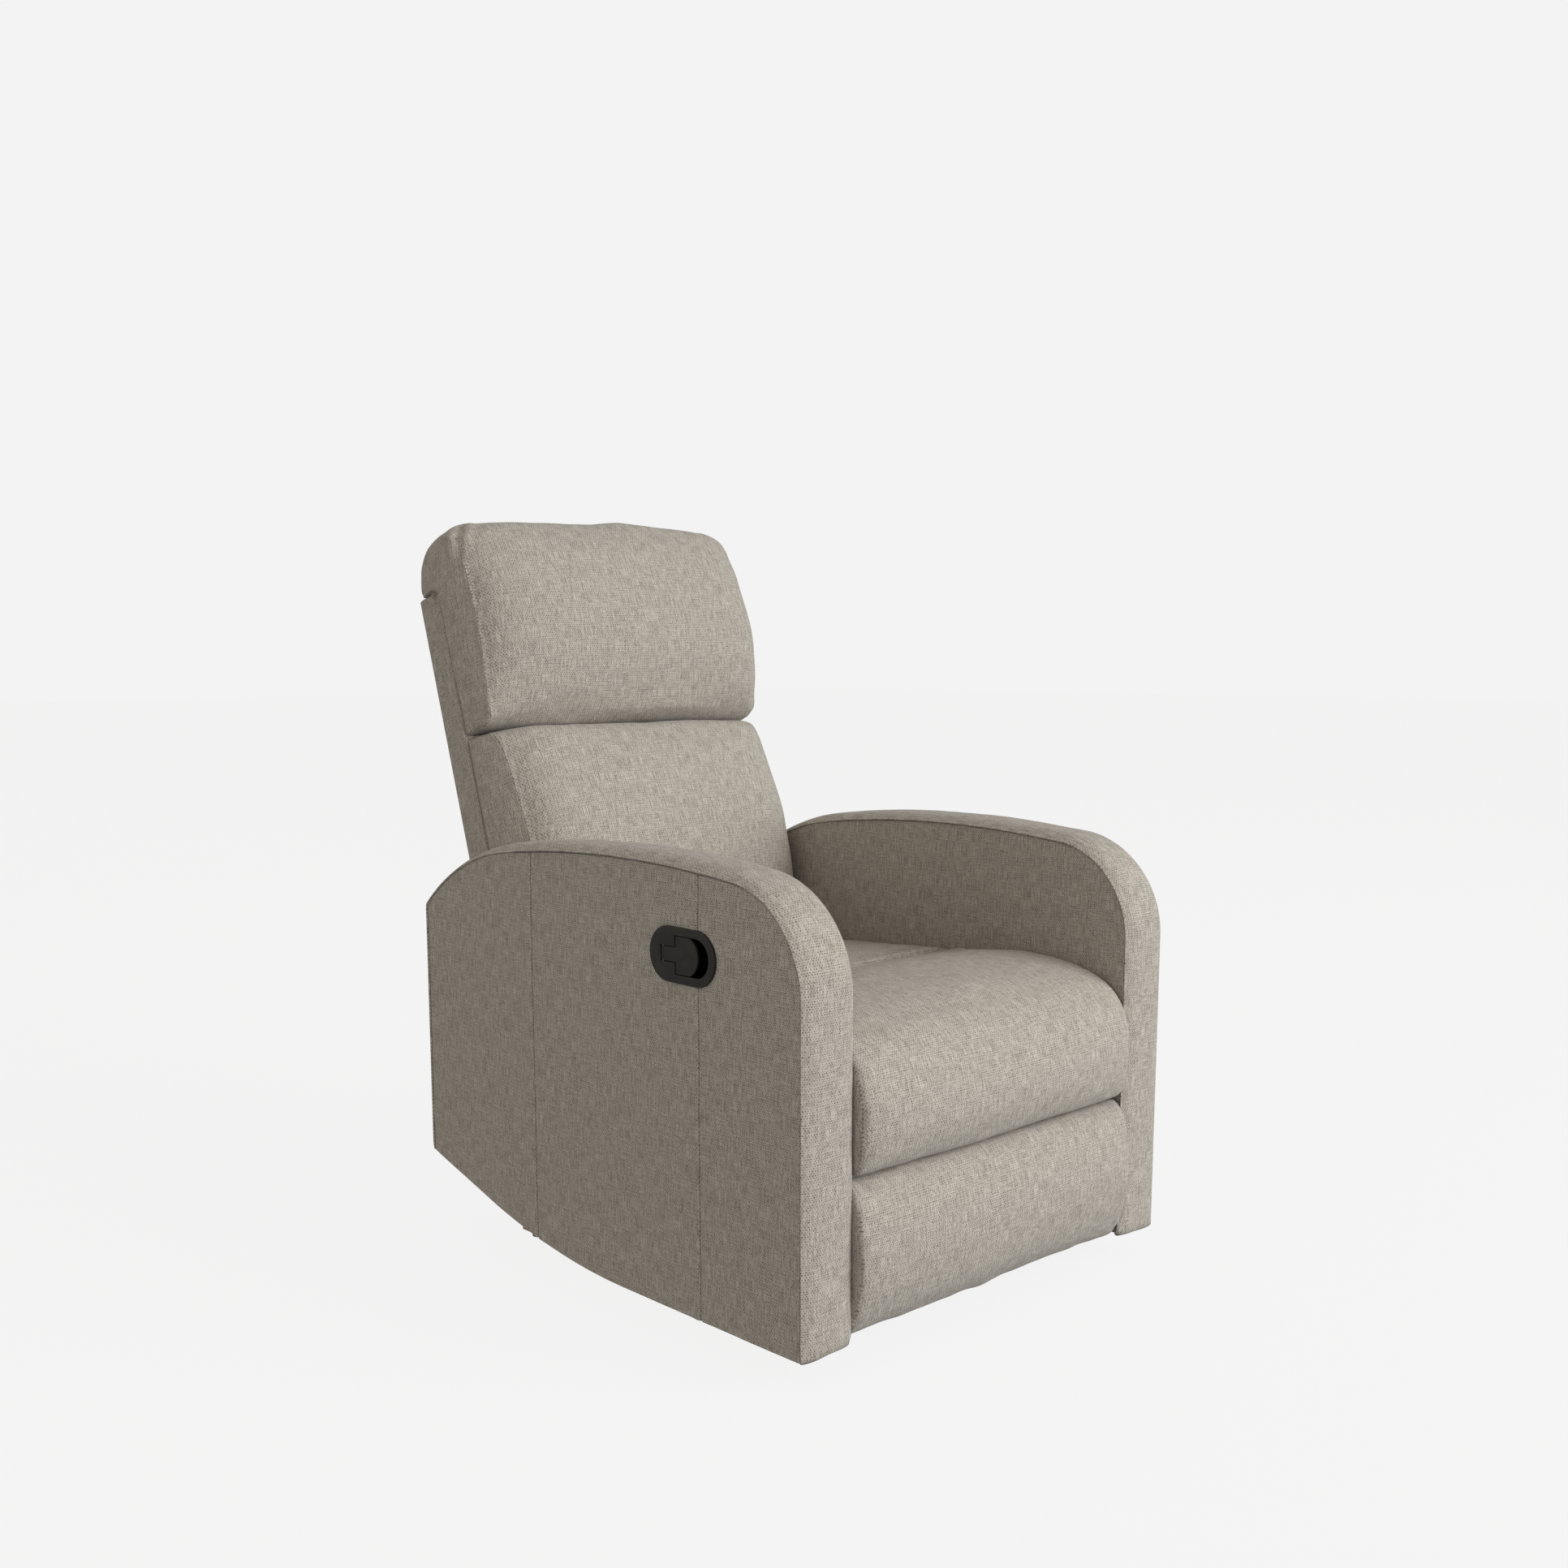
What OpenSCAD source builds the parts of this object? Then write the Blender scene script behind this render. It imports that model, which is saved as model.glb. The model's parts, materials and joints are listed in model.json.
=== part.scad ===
// Rocker recliner armchair. The front faces -Y, +X is the sitter's left and the floor is Z = 0.
// The origin is on the floor, under the middle of the chair.

/* [Arms] */
// Width of the chair over both arms
chair_w = 700; // [680:1:760]
// Width of one arm
arm_w = 80; // [78:1:90]
// Length of an arm from its front to its rear
arm_depth = 780; // [770:1:790]
// Height of the arm tops
arm_top = 600; // [595:1:605]
// Height of the arms' flat bottoms
floor_gap = 36; // [32:1:40]
// Y of the arms' front faces
arm_front = -440; // [-442:1:-438]
// Depth of the padded band round the front, top and rear of an arm
band_t = 20; // [16:1:24]

/* [Seat] */
// Height of the top of the seat's front roll
seat_top = 430; // [425:1:435]
// Half width of the seat cushion
seat_half = 266; // [262:1:267]
// Thickness of the wooden seat rails
rail_t = 24; // [20:1:24]
// Height of the underside of the seat rails
rail_bottom = 226; // [224:1:228]

/* [Back] */
// Lean of the back behind the vertical
back_lean = 16.9; // [14:0.1:18]
// Half width of the back and of its cushions
back_half = 262; // [255:1:264]
// Thickness of the back frame with its cover
back_t = 50; // [48:1:52]
// Thickness of the lumbar cushion
lumbar_t = 100; // [90:1:105]

/* [Footrest] */
// Distance from the drive pivot to the knee
drive_len = 150; // [148:1:152]
// Distance from the knee to the footrest pivot
outer_len = 190; // [188:1:192]
// Width of the flat steel links
link_w = 24; // [20:1:26]
// Half width of the footrest pad
pad_half = 262; // [255:1:264]

/* [Handle] */
// Length of the bezel
bezel_len = 121; // [118:1:125]
// Height of the bezel
bezel_h = 69; // [66:1:72]
// Height of the handle's centre
handle_z = 491.5; // [480:0.5:500]
// Y of the handle's centre
handle_y = -238; // [-245:1:-230]

/* [Hidden] */
$fn = 48;

// Running clearance of a shaft in its hole
run = 0.08;
// How far cutting shapes reach past what they cut
past = 1;

// Arm
half_w = chair_w/2;
arm_in = half_w - arm_w;
panel_t = 4;
arm_frame_t = 30;
front_r = 128;
crown_r = 2000;
crown_y = arm_front + 330;
rear_r = 360;
rear_tangent = 82.8;
sweep_r = 1067;
sweep_y = arm_front + 330;
sweep_angle = 16;
crown_c = [crown_y, arm_top - crown_r];
front_tangent = acos((arm_front + front_r - crown_y)/(crown_r - front_r));
front_c = crown_c + (crown_r - front_r)*[cos(front_tangent), sin(front_tangent)];
rear_c = crown_c + (crown_r - rear_r)*[cos(rear_tangent), sin(rear_tangent)];
arm_bolt_y = [-300, 100];
arm_bolt_z = rail_bottom + 40;
arm_bolt_r = 4;

// Base
glide_h = 6;
base_top = 66;
strip_t = 3;
base_y = [-320, 240];
base_cross_y = [-150, 190];
base_bolt_z = 36;

// Rocker: the cams roll on the strips near rock_y
rock_y = -20;
cam_r = 420;
cam_gap = 5;
cam_half = 190;
rock_spring_x = 216;
rock_spring_r = 16;
rock_spring_low = 46;
rock_spring_high = 143;

// Seat
rail_out = arm_in - 2;
rail_in = rail_out - rail_t;
rail_top = rail_bottom + 80;
rail_front = -398;
rail_rear = 190;
deck_t = 6;
deck_notch = 158;
seat_rear = 150;
front_rail_rise = 20;
spring_wire = 3.6;

// Layers of the mechanism, each [inner, outer] distance from the middle
plate_x = [rail_in - 3, rail_in];
drive_x = [plate_x[0] - 6, plate_x[0] - 2];
outer_x = [drive_x[0] - 6, drive_x[0] - 2];
arm_x = [outer_x[0] - 6, outer_x[0] - 2];
latch_x = [plate_x[1] + 3, plate_x[1] + 7];

// Footrest linkage, in Y and Z: the drive pivot, the knee and the footrest pivot, all stowed
drive_p = [-330, 205];
foot_p = [-386, 190];
reach = norm(foot_p - drive_p);
knee_turn = acos((drive_len*drive_len + reach*reach - outer_len*outer_len)/(2*drive_len*reach));
reach_turn = atan2(foot_p.y - drive_p.y, foot_p.x - drive_p.x);
knee_p = drive_p + drive_len*[cos(reach_turn + knee_turn), sin(reach_turn + knee_turn)];
stub_r = 6;
tube_r = 11;
pivot_r = 5;
board = [-424, -408];
board_z = [55, 225];
board_half = 245;
pad_front = -474;
pad_z = [46, 233];
foot_spring_rear = [-150, 250];
crank_p = drive_p + [8, 30];

// Latch and cable
pawl_p = [-262, 207];
pawl_tip = [-301.5, 207];
pawl_tail = [-258, 184];
disc_r = 20.5;
cable_r = 3;
cable_route = [[-315, -205, 484], [-306, -205, 482], [-301, -205, 474], [-300, -206, 455], [-300, -212, 380],
               [-300, -222, 300], [-299, -228, 240], [-294, -229, 218], [-284, -229, 206], [-270, -229, 200],
               [-260, -229, 194], [-252, -232, 187], [-250, -238, 184], [-250, -246, 184]];
cable_hole = [-229, 200];

// Handle: the plate has a slot for the paddle's tab and a longer, round-fronted opening for its grip
bezel_t = 5;
cup_len = bezel_len - 11;
cup_h = bezel_h - 11;
cup_depth = 34;
cup_wall = 2.5;
paddle_t = 4;
paddle_gap = 0.7;
hinge_x = -half_w - paddle_t/2;
hinge_y = handle_y + 37;
hinge_r = paddle_t/2;
grip_rear = handle_y + 12;
grip_h = 46.5;
grip_c = handle_y - 3;
grip_r = 26;
throat_c = handle_y - 25.4;
tab_h = 18.5;
handle_pin_r = 1.2;
boss_y = handle_y + 28;
boss_z = 22;
boss_r = 3.5;
screw_r = 1.4;

// Back: its own frame has Z up along the lean and Y to the rear, from a point on the rear face
back_o = [arm_front + 799.7, 549.1];
back_low = -180;
back_high = 399;
post_t = 18;
back_p = [260, 370];
frame_n = [4, 46];
cross_h = 40;
bolt_n = 28;
bolt_z = [back_low + 52, back_low + 92];
bracket_t = 3;
bracket_x = back_half - 3 - post_t - 0.5 - bracket_t;

function arc(c, r, a0, a1, n = 12) =
    [for (i = [0:n]) let(a = a0 + (a1 - a0)*i/n) c + r*[cos(a), sin(a)]];

function unit(v) = v/norm(v);

function wrap180(a) = a > 180 ? a - 360 : a < -180 ? a + 360 : a;

// The rounded corner at b, between its neighbours a and c
function corner(a, b, c, r) =
    r <= 0 ? [b] :
    let(u = unit(a - b), v = unit(c - b), half = acos(u*v)/2)
    let(m = b + unit(u + v)*r/sin(half), s = b + u*r/tan(half) - m, e = b + v*r/tan(half) - m)
    let(a0 = atan2(s.y, s.x))
    arc(m, r, a0, a0 + wrap180(atan2(e.y, e.x) - a0), 8);

// A closed outline from [y, z, corner radius] points
function rounded(p) =
    [for (i = [0:len(p) - 1])
        let(a = p[(i + len(p) - 1) % len(p)], b = p[i], c = p[(i + 1) % len(p)])
        each corner([a.x, a.y], [b.x, b.y], [c.x, c.y], b.z)];

// The arm seen from its side, moved in by d at the front, top and rear and by low at the bottom
function arm_outline(d, low) =
    let(rear = arm_front + arm_depth - d, sweep_c = [sweep_y, floor_gap + sweep_r])
    let(sweep_end = sweep_c + (sweep_r - low)*[sin(sweep_angle), -cos(sweep_angle)])
    concat(arc(front_c, front_r - d, 180, front_tangent, 16),
           arc(crown_c, crown_r - d, front_tangent, rear_tangent, 14),
           arc(rear_c, rear_r - d, rear_tangent, acos((rear - rear_c.x)/(rear_r - d)), 12),
           [[rear, sweep_end.y + tan(sweep_angle)*(rear - sweep_end.x)]],
           arc(sweep_c, sweep_r - low, 270 + sweep_angle, 270, 10),
           [[arm_front + d, floor_gap + low]]);

// Children drawn in Y and Z, extruded from x0 to x1
module along_x(x0, x1) {
    translate([x0, 0, 0]) rotate([90, 0, 90]) linear_extrude(x1 - x0) children();
}

module both() {
    children();
    mirror([1, 0, 0]) children();
}

module right() {
    mirror([1, 0, 0]) children();
}

module rod_x(x0, x1, p, r) {
    translate([x0, p.x, p.y]) rotate([0, 90, 0]) cylinder(h = x1 - x0, r = r);
}

// A flat bar with round ends over pivots a and b, with a hole at each
module bar(x, a, b, hole_a, hole_b) {
    turn = atan2(b.y - a.y, b.x - a.x);
    along_x(x[0], x[1]) difference() {
        polygon(concat(arc(a, link_w/2, turn + 90, turn + 270), arc(b, link_w/2, turn - 90, turn + 90)));
        translate(a) circle(hole_a);
        translate(b) circle(hole_b);
    }
}

// A rivet through two layers, with a flat head at each end
module rivet(x0, x1, p, r, head = 1.8) {
    rod_x(x0, x1, p, r);
    rod_x(x0 - head, x0, p, r + 3);
    rod_x(x1, x1 + head, p, r + 3);
}

// A coil of round wire about Z, from 0 to h
module coil(r, wire, turns, h, steps = 12, sides = 6) {
    rings = turns*steps;
    points = [for (i = [0:rings], k = [0:sides - 1])
        let(a = 360*i/steps, b = 360*k/sides, q = r + wire*cos(b))
        [q*cos(a), q*sin(a), wire + (h - 2*wire)*i/rings + wire*sin(b)]];
    faces = concat([[for (k = [0:sides - 1]) k]],
        [[for (k = [sides - 1:-1:0]) rings*sides + k]],
        [for (i = [0:rings - 1], k = [0:sides - 1], half = [0, 1])
            let(n = (k + 1) % sides, near = i*sides, far = near + sides)
            half == 0 ? [near + k, far + k, far + n] : [near + k, far + n, near + n]]);
    polyhedron(points, faces);
}

// A round tube swept along a list of points
function heading(p, i) = unit(p[min(i + 1, len(p) - 1)] - p[max(i - 1, 0)]);
module sweep(p, r, sides = 8) {
    points = [for (i = [0:len(p) - 1])
        let(t = heading(p, i), u = unit(cross(t, [0.2, 1, 0.1])), v = cross(t, u))
        for (k = [0:sides - 1]) p[i] + r*(cos(360*k/sides)*u + sin(360*k/sides)*v)];
    last = len(p) - 1;
    faces = concat([[for (k = [sides - 1:-1:0]) k]],
        [[for (k = [0:sides - 1]) last*sides + k]],
        [for (i = [0:last - 1], k = [0:sides - 1]) let(n = (k + 1) % sides)
            [i*sides + k, i*sides + n, (i + 1)*sides + n, (i + 1)*sides + k]]);
    polyhedron(points, [for (f = faces) [for (j = [len(f) - 1:-1:0]) f[j]]]);
}

// A zigzag spring wire of flat section in X and Y, from y0 to y1 about x = 0
module zigzag(y0, y1, amp, waves, w) {
    n = waves*10;
    middle = [for (i = [0:n]) [amp*sin(36*i), y0 + (y1 - y0)*i/n]];
    side = [for (i = [0:n]) let(t = unit(middle[min(i + 1, n)] - middle[max(i - 1, 0)])) [t.y, -t.x]];
    polygon(concat([for (i = [0:n]) middle[i] + side[i]*w/2], [for (i = [n:-1:0]) middle[i] - side[i]*w/2]));
}

// Base

module base_rails() {
    color("burlywood") both() difference() {
        translate([rail_in, base_y[0], glide_h])
            cube([rail_t - 2, base_y[1] - base_y[0], base_top - glide_h]);
        base_bolt_holes();
    }
}

module base_cross_rails() {
    color("burlywood") difference() {
        for (y = base_cross_y)
            translate([-rail_in, y, glide_h + 4]) cube([2*rail_in, rail_t, base_top - glide_h - 10]);
        both() base_bolt_holes();
    }
}

module base_bolt_holes() {
    for (y = base_cross_y) rod_x(rail_in - 40, rail_in + rail_t, [y + rail_t/2, base_bolt_z], 3);
}

module base_bolts() {
    color("silver") both() for (y = base_cross_y) {
        rod_x(rail_in - 40, rail_in + rail_t - 2, [y + rail_t/2, base_bolt_z], 3);
        rod_x(rail_in + rail_t - 2, rail_in + rail_t, [y + rail_t/2, base_bolt_z], 6);
    }
}

module base_wear_strips() {
    color("dimgray") both()
        translate([rail_in + 2, base_y[0] + 40, base_top]) cube([18, 480, strip_t]);
}

module base_glides() {
    color("black") both() for (y = [base_y[0] + 25, base_y[1] - 25])
        translate([rail_in + rail_t/2 - 1, y, 0]) {
            cylinder(h = 4, r = 9);
            translate([0, 0, 4]) cylinder(h = glide_h - 4, r = 7);
        }
}

module base_spring_brackets() {
    color("dimgray") both() {
        translate([rock_spring_x - 20, rock_y - 25, rock_spring_low - 3])
            cube([rail_in - rock_spring_x + 20, 50, 3]);
        translate([rail_in - 3, rock_y - 25, 14]) cube([3, 50, rock_spring_low - 17]);
    }
}

module rocker_springs() {
    color("gray") both() translate([rock_spring_x, rock_y, rock_spring_low])
        coil(rock_spring_r, 2.5, 6, rock_spring_high - rock_spring_low);
}

// Rocker and seat frame

module rocker_cams() {
    cam_c = [rock_y, base_top + strip_t + cam_gap + cam_r];
    reach_a = asin(cam_half/cam_r);
    color("burlywood") both() along_x(rail_in + 2, rail_out - 4)
        polygon(concat(arc(cam_c, cam_r, 270 - reach_a, 270 + reach_a, 24),
                       [[rock_y + cam_half, rail_bottom], [rock_y - cam_half, rail_bottom]]));
}

module rocker_spring_brackets() {
    color("dimgray") both() {
        translate([rock_spring_x - 20, rock_y - 25, rock_spring_high])
            cube([plate_x[0] - rock_spring_x + 20, 50, 3]);
        translate([plate_x[0] - 3, rock_y - 25, rock_spring_high + 3]) cube([3, 50, 80]);
    }
}

module arm_bolt_holes(r = arm_bolt_r) {
    for (y = arm_bolt_y) rod_x(plate_x[0] - past, arm_in + 40, [y, arm_bolt_z], r);
}

module arm_bolts() {
    color("silver") both() for (y = arm_bolt_y) {
        rod_x(plate_x[0], arm_in + 40, [y, arm_bolt_z], arm_bolt_r);
        rod_x(plate_x[0] - 5, plate_x[0], [y, arm_bolt_z], 8);
    }
}

module seat_side_rails() {
    color("burlywood") both() difference() {
        translate([rail_in, rail_front, rail_bottom])
            cube([rail_t, rail_rear - rail_front, rail_top - rail_bottom]);
        arm_bolt_holes();
    }
}

module seat_front_rail() {
    color("burlywood") translate([-rail_in, rail_front, rail_bottom + front_rail_rise])
        cube([2*rail_in, rail_t, rail_top - rail_bottom - front_rail_rise]);
}

module seat_rear_rail() {
    color("burlywood") translate([-plate_x[0], rail_rear - rail_t, rail_bottom])
        cube([2*plate_x[0], rail_t, rail_top - rail_bottom]);
}

module seat_springs() {
    color("gray") for (x = [-180:90:180])
        translate([x, 0, rail_top - 8]) linear_extrude(spring_wire)
            zigzag(rail_front + rail_t + spring_wire/2, rail_rear - rail_t - spring_wire/2, 22, 9, spring_wire);
}

module seat_deck() {
    color("gainsboro") difference() {
        translate([-rail_out, rail_front, rail_top]) cube([2*rail_out, rail_rear - rail_front, deck_t]);
        both() translate([plate_x[0] - past, deck_notch, rail_top - past])
            cube([plate_x[1] - plate_x[0] + 2*past, rail_rear - deck_notch + past, deck_t + 2*past]);
    }
}

module seat_cushion() {
    low = rail_top + deck_t + 0.5;
    color([0.69, 0.66, 0.62]) along_x(-seat_half, seat_half) polygon(rounded([
        [rail_front - 1, rail_bottom + 12, 4], [rail_front - 1, low, 0], [seat_rear, low, 10],
        [seat_rear, seat_top - 33, 25], [-128, seat_top - 17, 60], [-190, seat_top - 7, 40],
        [-330, seat_top, 120], [-452, seat_top - 28, 45], [-470, 330, 120], [-448, rail_bottom + 12, 12]]));
}

// Arms

module arm_frame() {
    color("burlywood") difference() {
        along_x(arm_in + panel_t, half_w - panel_t) {
            difference() {
                polygon(arm_outline(band_t, 0));
                polygon(arm_outline(band_t + arm_frame_t, arm_frame_t));
            }
            translate([arm_front + band_t + 1, arm_bolt_z - 30]) square([arm_depth - 2*band_t - 2, 60]);
        }
        arm_bolt_holes();
    }
}

module arm_frame_left() arm_frame();

// The right frame's middle rail has a slot for the cable
module arm_frame_right() {
    right() difference() {
        arm_frame();
        translate([arm_in + 10, cable_hole.x - 12, arm_bolt_z - 31]) cube([40, 24, 62]);
    }
}

module arm_outer_panel() {
    color([0.69, 0.66, 0.62]) along_x(half_w - panel_t, half_w) polygon(arm_outline(band_t, 0));
}

module arm_outer_panel_left() arm_outer_panel();

module arm_outer_panel_right() {
    difference() {
        right() arm_outer_panel();
        handle_prism(-half_w - past, -half_w + panel_t + past, cup_len, cup_h);
    }
}

module arm_inner_panel() {
    color([0.69, 0.66, 0.62]) difference() {
        along_x(arm_in, arm_in + panel_t) polygon(arm_outline(band_t, 0));
        arm_bolt_holes();
    }
}

module arm_inner_panel_left() arm_inner_panel();

module arm_inner_panel_right() {
    difference() {
        right() arm_inner_panel();
        rod_x(-arm_in - panel_t - past, -arm_in + past, cable_hole, 9);
    }
}

module arm_band() {
    color([0.69, 0.66, 0.62]) along_x(arm_in, half_w) difference() {
        polygon(arm_outline(0, 0));
        polygon(arm_outline(band_t, -band_t));
    }
}

module arm_band_left() arm_band();
module arm_band_right() right() arm_band();

module rear_stretcher() {
    color("burlywood") translate([-arm_in, 296, 150]) cube([2*arm_in, 18, 60]);
}

module rear_drape() {
    color([0.69, 0.66, 0.62]) translate([-rail_out, 314, 130]) cube([2*rail_out, 3, 220]);
}

// Mechanism

module mechanism_plates() {
    color("dimgray") both() difference() {
        along_x(plate_x[0], plate_x[1]) polygon(rounded([
            [drive_p.x - 24, drive_p.y - 22, 16], [drive_p.x - 24, rail_top - 16, 10],
            [rail_rear - 10, rail_top - 16, 10], [rail_rear - 10, rail_bottom + 8, 10],
            [-200, rail_bottom + 8, 20], [-230, drive_p.y - 34, 20]]));
        rod_x(plate_x[0] - past, plate_x[1] + past, drive_p, stub_r + run);
        rod_x(plate_x[0] - past, plate_x[1] + past, pawl_p, 4);
        arm_bolt_holes();
    }
}

module rear_hinge_plates() {
    color("dimgray") both() difference() {
        along_x(plate_x[0], plate_x[1]) polygon(concat(
            arc(back_p, 15, -45, 165),
            [[150, rail_top - 12], [150, rail_top - 16], [rail_rear - 20, rail_top - 16]]));
        rod_x(plate_x[0] - past, plate_x[1] + past, back_p, pivot_r + run);
    }
}

module torque_tube() {
    color("silver") {
        difference() {
            rod_x(-drive_x[0], drive_x[0], drive_p, tube_r);
            rod_x(-drive_x[0] + 12, drive_x[0] - 12, drive_p, tube_r - 2);
        }
        both() rod_x(drive_x[0], latch_x[1] + 1, drive_p, stub_r);
    }
}

module drive_links() {
    color("dimgray") both() union() {
        bar(drive_x, drive_p, knee_p, stub_r, pivot_r);
        difference() {
            along_x(drive_x[0], drive_x[1])
                polygon([drive_p + [-8, 8], crank_p + [-8, 6], crank_p + [8, 6], drive_p + [11, 4]]);
            rod_x(drive_x[0] - past, drive_x[1] + past, drive_p, stub_r);
            rod_x(drive_x[0] - past, drive_x[1] + past, crank_p, 2);
        }
    }
}

module latch_disc() {
    color("dimgray") right() along_x(latch_x[0], latch_x[1]) difference() {
        translate(drive_p) circle(disc_r);
        translate(drive_p) circle(stub_r);
        translate(drive_p + [disc_r - 5, -4]) square([8, 8]);
    }
}

module knee_pins() {
    color("silver") both() rivet(outer_x[0], drive_x[1], knee_p, pivot_r);
}

module outer_links() {
    color("dimgray") both() difference() {
        bar(outer_x, knee_p, foot_p, pivot_r + run, pivot_r);
        rod_x(outer_x[0] - past, outer_x[1] + past, (knee_p + foot_p)/2, stub_r);
    }
}

module stabiliser_bar() {
    color("silver") rod_x(-outer_x[1], outer_x[1], (knee_p + foot_p)/2, stub_r);
}

module footrest_pins() {
    color("silver") both() rivet(arm_x[0], outer_x[1], foot_p, pivot_r);
}

module footrest_brackets() {
    color("dimgray") both() difference() {
        union() {
            along_x(arm_x[0], arm_x[1]) polygon(rounded([
                [board[1], 100, 0], [board[1], 208, 0], [foot_p.x + 13, 208, 12],
                [foot_p.x + 13, 176, 12], [board[1] + 10, 100, 4]]));
            translate([arm_x[0] - 20, board[1], 100]) cube([20, 3, 108]);
        }
        rod_x(arm_x[0] - past, arm_x[1] + past, foot_p, pivot_r + run);
        footrest_screw_holes();
    }
}

module footrest_screw_holes() {
    for (z = [118, 190])
        translate([arm_x[0] - 10, board[1] - 12, z]) rotate([-90, 0, 0]) cylinder(h = 20, r = 2);
}

module footrest_screws() {
    color("silver") both() for (z = [118, 190])
        translate([arm_x[0] - 10, board[1] - 12, z]) rotate([-90, 0, 0]) {
            cylinder(h = 15, r = 2);
            translate([0, 0, 15]) cylinder(h = 2, r = 4.5);
        }
}

module footrest_board() {
    color("burlywood") difference() {
        translate([-board_half, board[0], board_z[0]])
            cube([2*board_half, board[1] - board[0], board_z[1] - board_z[0]]);
        both() footrest_screw_holes();
    }
}

module footrest_pad() {
    color([0.69, 0.66, 0.62]) difference() {
        along_x(-pad_half, pad_half) polygon(rounded([
            [pad_front, pad_z[0], 26], [pad_front, pad_z[1], 26],
            [board[1] - 2, pad_z[1], 6], [board[1] - 2, pad_z[0], 6]]));
        translate([-board_half, board[0], board_z[0]])
            cube([2*board_half, board[1] - board[0], board_z[1] - board_z[0]]);
    }
}

module footrest_springs() {
    d = foot_spring_rear - crank_p;
    color("gray") both() translate([outer_x[0] + 2, crank_p.x, crank_p.y])
        rotate([atan2(d.y, d.x) - 90, 0, 0]) translate([0, 0, 8]) coil(5, 1, 12, norm(d) - 16, 8, 5);
}

// Handle, latch and cable, all on the sitter's right

module stadium(l, h) {
    square([l - h, h], center = true);
    for (s = [-1, 1]) translate([s*(l - h)/2, 0]) circle(h/2);
}

module handle_prism(x0, x1, l, h) {
    along_x(x0, x1) translate([handle_y, handle_z]) stadium(l, h);
}

// A D with its straight side at the rear and a round front of radius r about c
module d_shape(rear, c, r, h) {
    intersection() {
        union() {
            translate([c, 0]) circle(r);
            translate([c, -h/2]) square([rear - c, h]);
        }
        translate([c - r, -h/2]) square([rear - c + r, h]);
    }
}

module handle_bezel() {
    slot_end = hinge_y + hinge_r + paddle_gap;
    slot_h = tab_h + 2*paddle_gap;
    throat_h = grip_h + 2*paddle_gap;
    color("black") difference() {
        handle_prism(-half_w - bezel_t, -half_w, bezel_len, bezel_h);
        along_x(-half_w - bezel_t - past, -half_w + past) translate([0, handle_z]) {
            d_shape(grip_rear + paddle_gap, throat_c, throat_h/2, throat_h);
            translate([grip_rear, -slot_h/2]) square([slot_end - grip_rear, slot_h]);
        }
        handle_pin();
        handle_screw_holes();
    }
}

module handle_cup() {
    floor_x = -half_w + cup_depth;
    color("black") difference() {
        union() {
            difference() {
                handle_prism(-half_w, floor_x, cup_len, cup_h);
                handle_prism(-half_w - past, floor_x - cup_wall, cup_len - 2*cup_wall, cup_h - 2*cup_wall);
            }
            for (s = [-1, 1]) rod_x(-half_w, floor_x - cup_wall, [boss_y, handle_z + s*boss_z], boss_r);
        }
        handle_screw_holes();
    }
}

module handle_screw_holes() {
    for (s = [-1, 1])
        rod_x(-half_w - bezel_t + 1.5, -half_w + cup_depth + past, [boss_y, handle_z + s*boss_z], screw_r);
}

module handle_screws() {
    floor_x = -half_w + cup_depth;
    color("dimgray") for (s = [-1, 1]) {
        rod_x(-half_w - bezel_t + 1.5, floor_x, [boss_y, handle_z + s*boss_z], screw_r);
        rod_x(floor_x, floor_x + 3, [boss_y, handle_z + s*boss_z], 3);
    }
}

module handle_pin() {
    color("silver") translate([hinge_x, hinge_y, handle_z - 14]) cylinder(h = 28, r = handle_pin_r);
}

module handle_paddle() {
    face = -half_w - paddle_t;
    color("black") difference() {
        union() {
            along_x(face, face + paddle_t) translate([0, handle_z]) {
                d_shape(grip_rear, grip_c, grip_r, grip_h);
                translate([grip_rear - past, -tab_h/2]) square([hinge_y - grip_rear + past, tab_h]);
            }
            translate([hinge_x, hinge_y, handle_z - tab_h/2]) cylinder(h = tab_h, r = hinge_r);
            // The lug that pulls the cable
            translate([hinge_x, hinge_y - 1.5, handle_z - 3]) cube([14, 3, 6]);
        }
        translate([hinge_x, hinge_y, handle_z - 20]) cylinder(h = 40, r = handle_pin_r + run);
    }
}

module release_cable() {
    color("black") sweep(cable_route, cable_r);
}

module cable_bracket() {
    color("dimgray") difference() {
        translate([-latch_x[1] - 4, -243, 174]) cube([latch_x[1] + 4 - plate_x[1], 3, 20]);
        translate([cable_route[12].x, -250, cable_route[12].z])
            rotate([-90, 0, 0]) cylinder(h = 20, r = cable_r + 0.4);
    }
}

module latch_pin() {
    color("silver") right() {
        rod_x(plate_x[0], latch_x[1] + 1, pawl_p, 4);
        rod_x(latch_x[1] + 1, latch_x[1] + 3, pawl_p, 6);
    }
}

module latch_pawl() {
    color("dimgray") right() along_x(latch_x[0], latch_x[1]) difference() {
        union() {
            translate(pawl_p) circle(9);
            polygon([pawl_p + [0, 6], pawl_tip + [0, 3], pawl_tip + [0, -3], pawl_p + [0, -6]]);
            polygon([pawl_p + [-5, 0], pawl_tail + [-5, 0], pawl_tail + [5, 0], pawl_p + [7, 0]]);
        }
        translate(pawl_p) circle(4 + run);
    }
}

// Back

// Children drawn in the back's own frame
module on_back() {
    translate([0, back_o.x, back_o.y]) rotate([-back_lean, 0, 0]) children();
}

// A block of the back from x0 to x1, n0 to n1 in front of the rear face and z0 to z1 along the lean
module slab(x0, x1, n0, n1, z0, z1) {
    translate([x0, -n1, z0]) cube([x1 - x0, n1 - n0, z1 - z0]);
}

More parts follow.
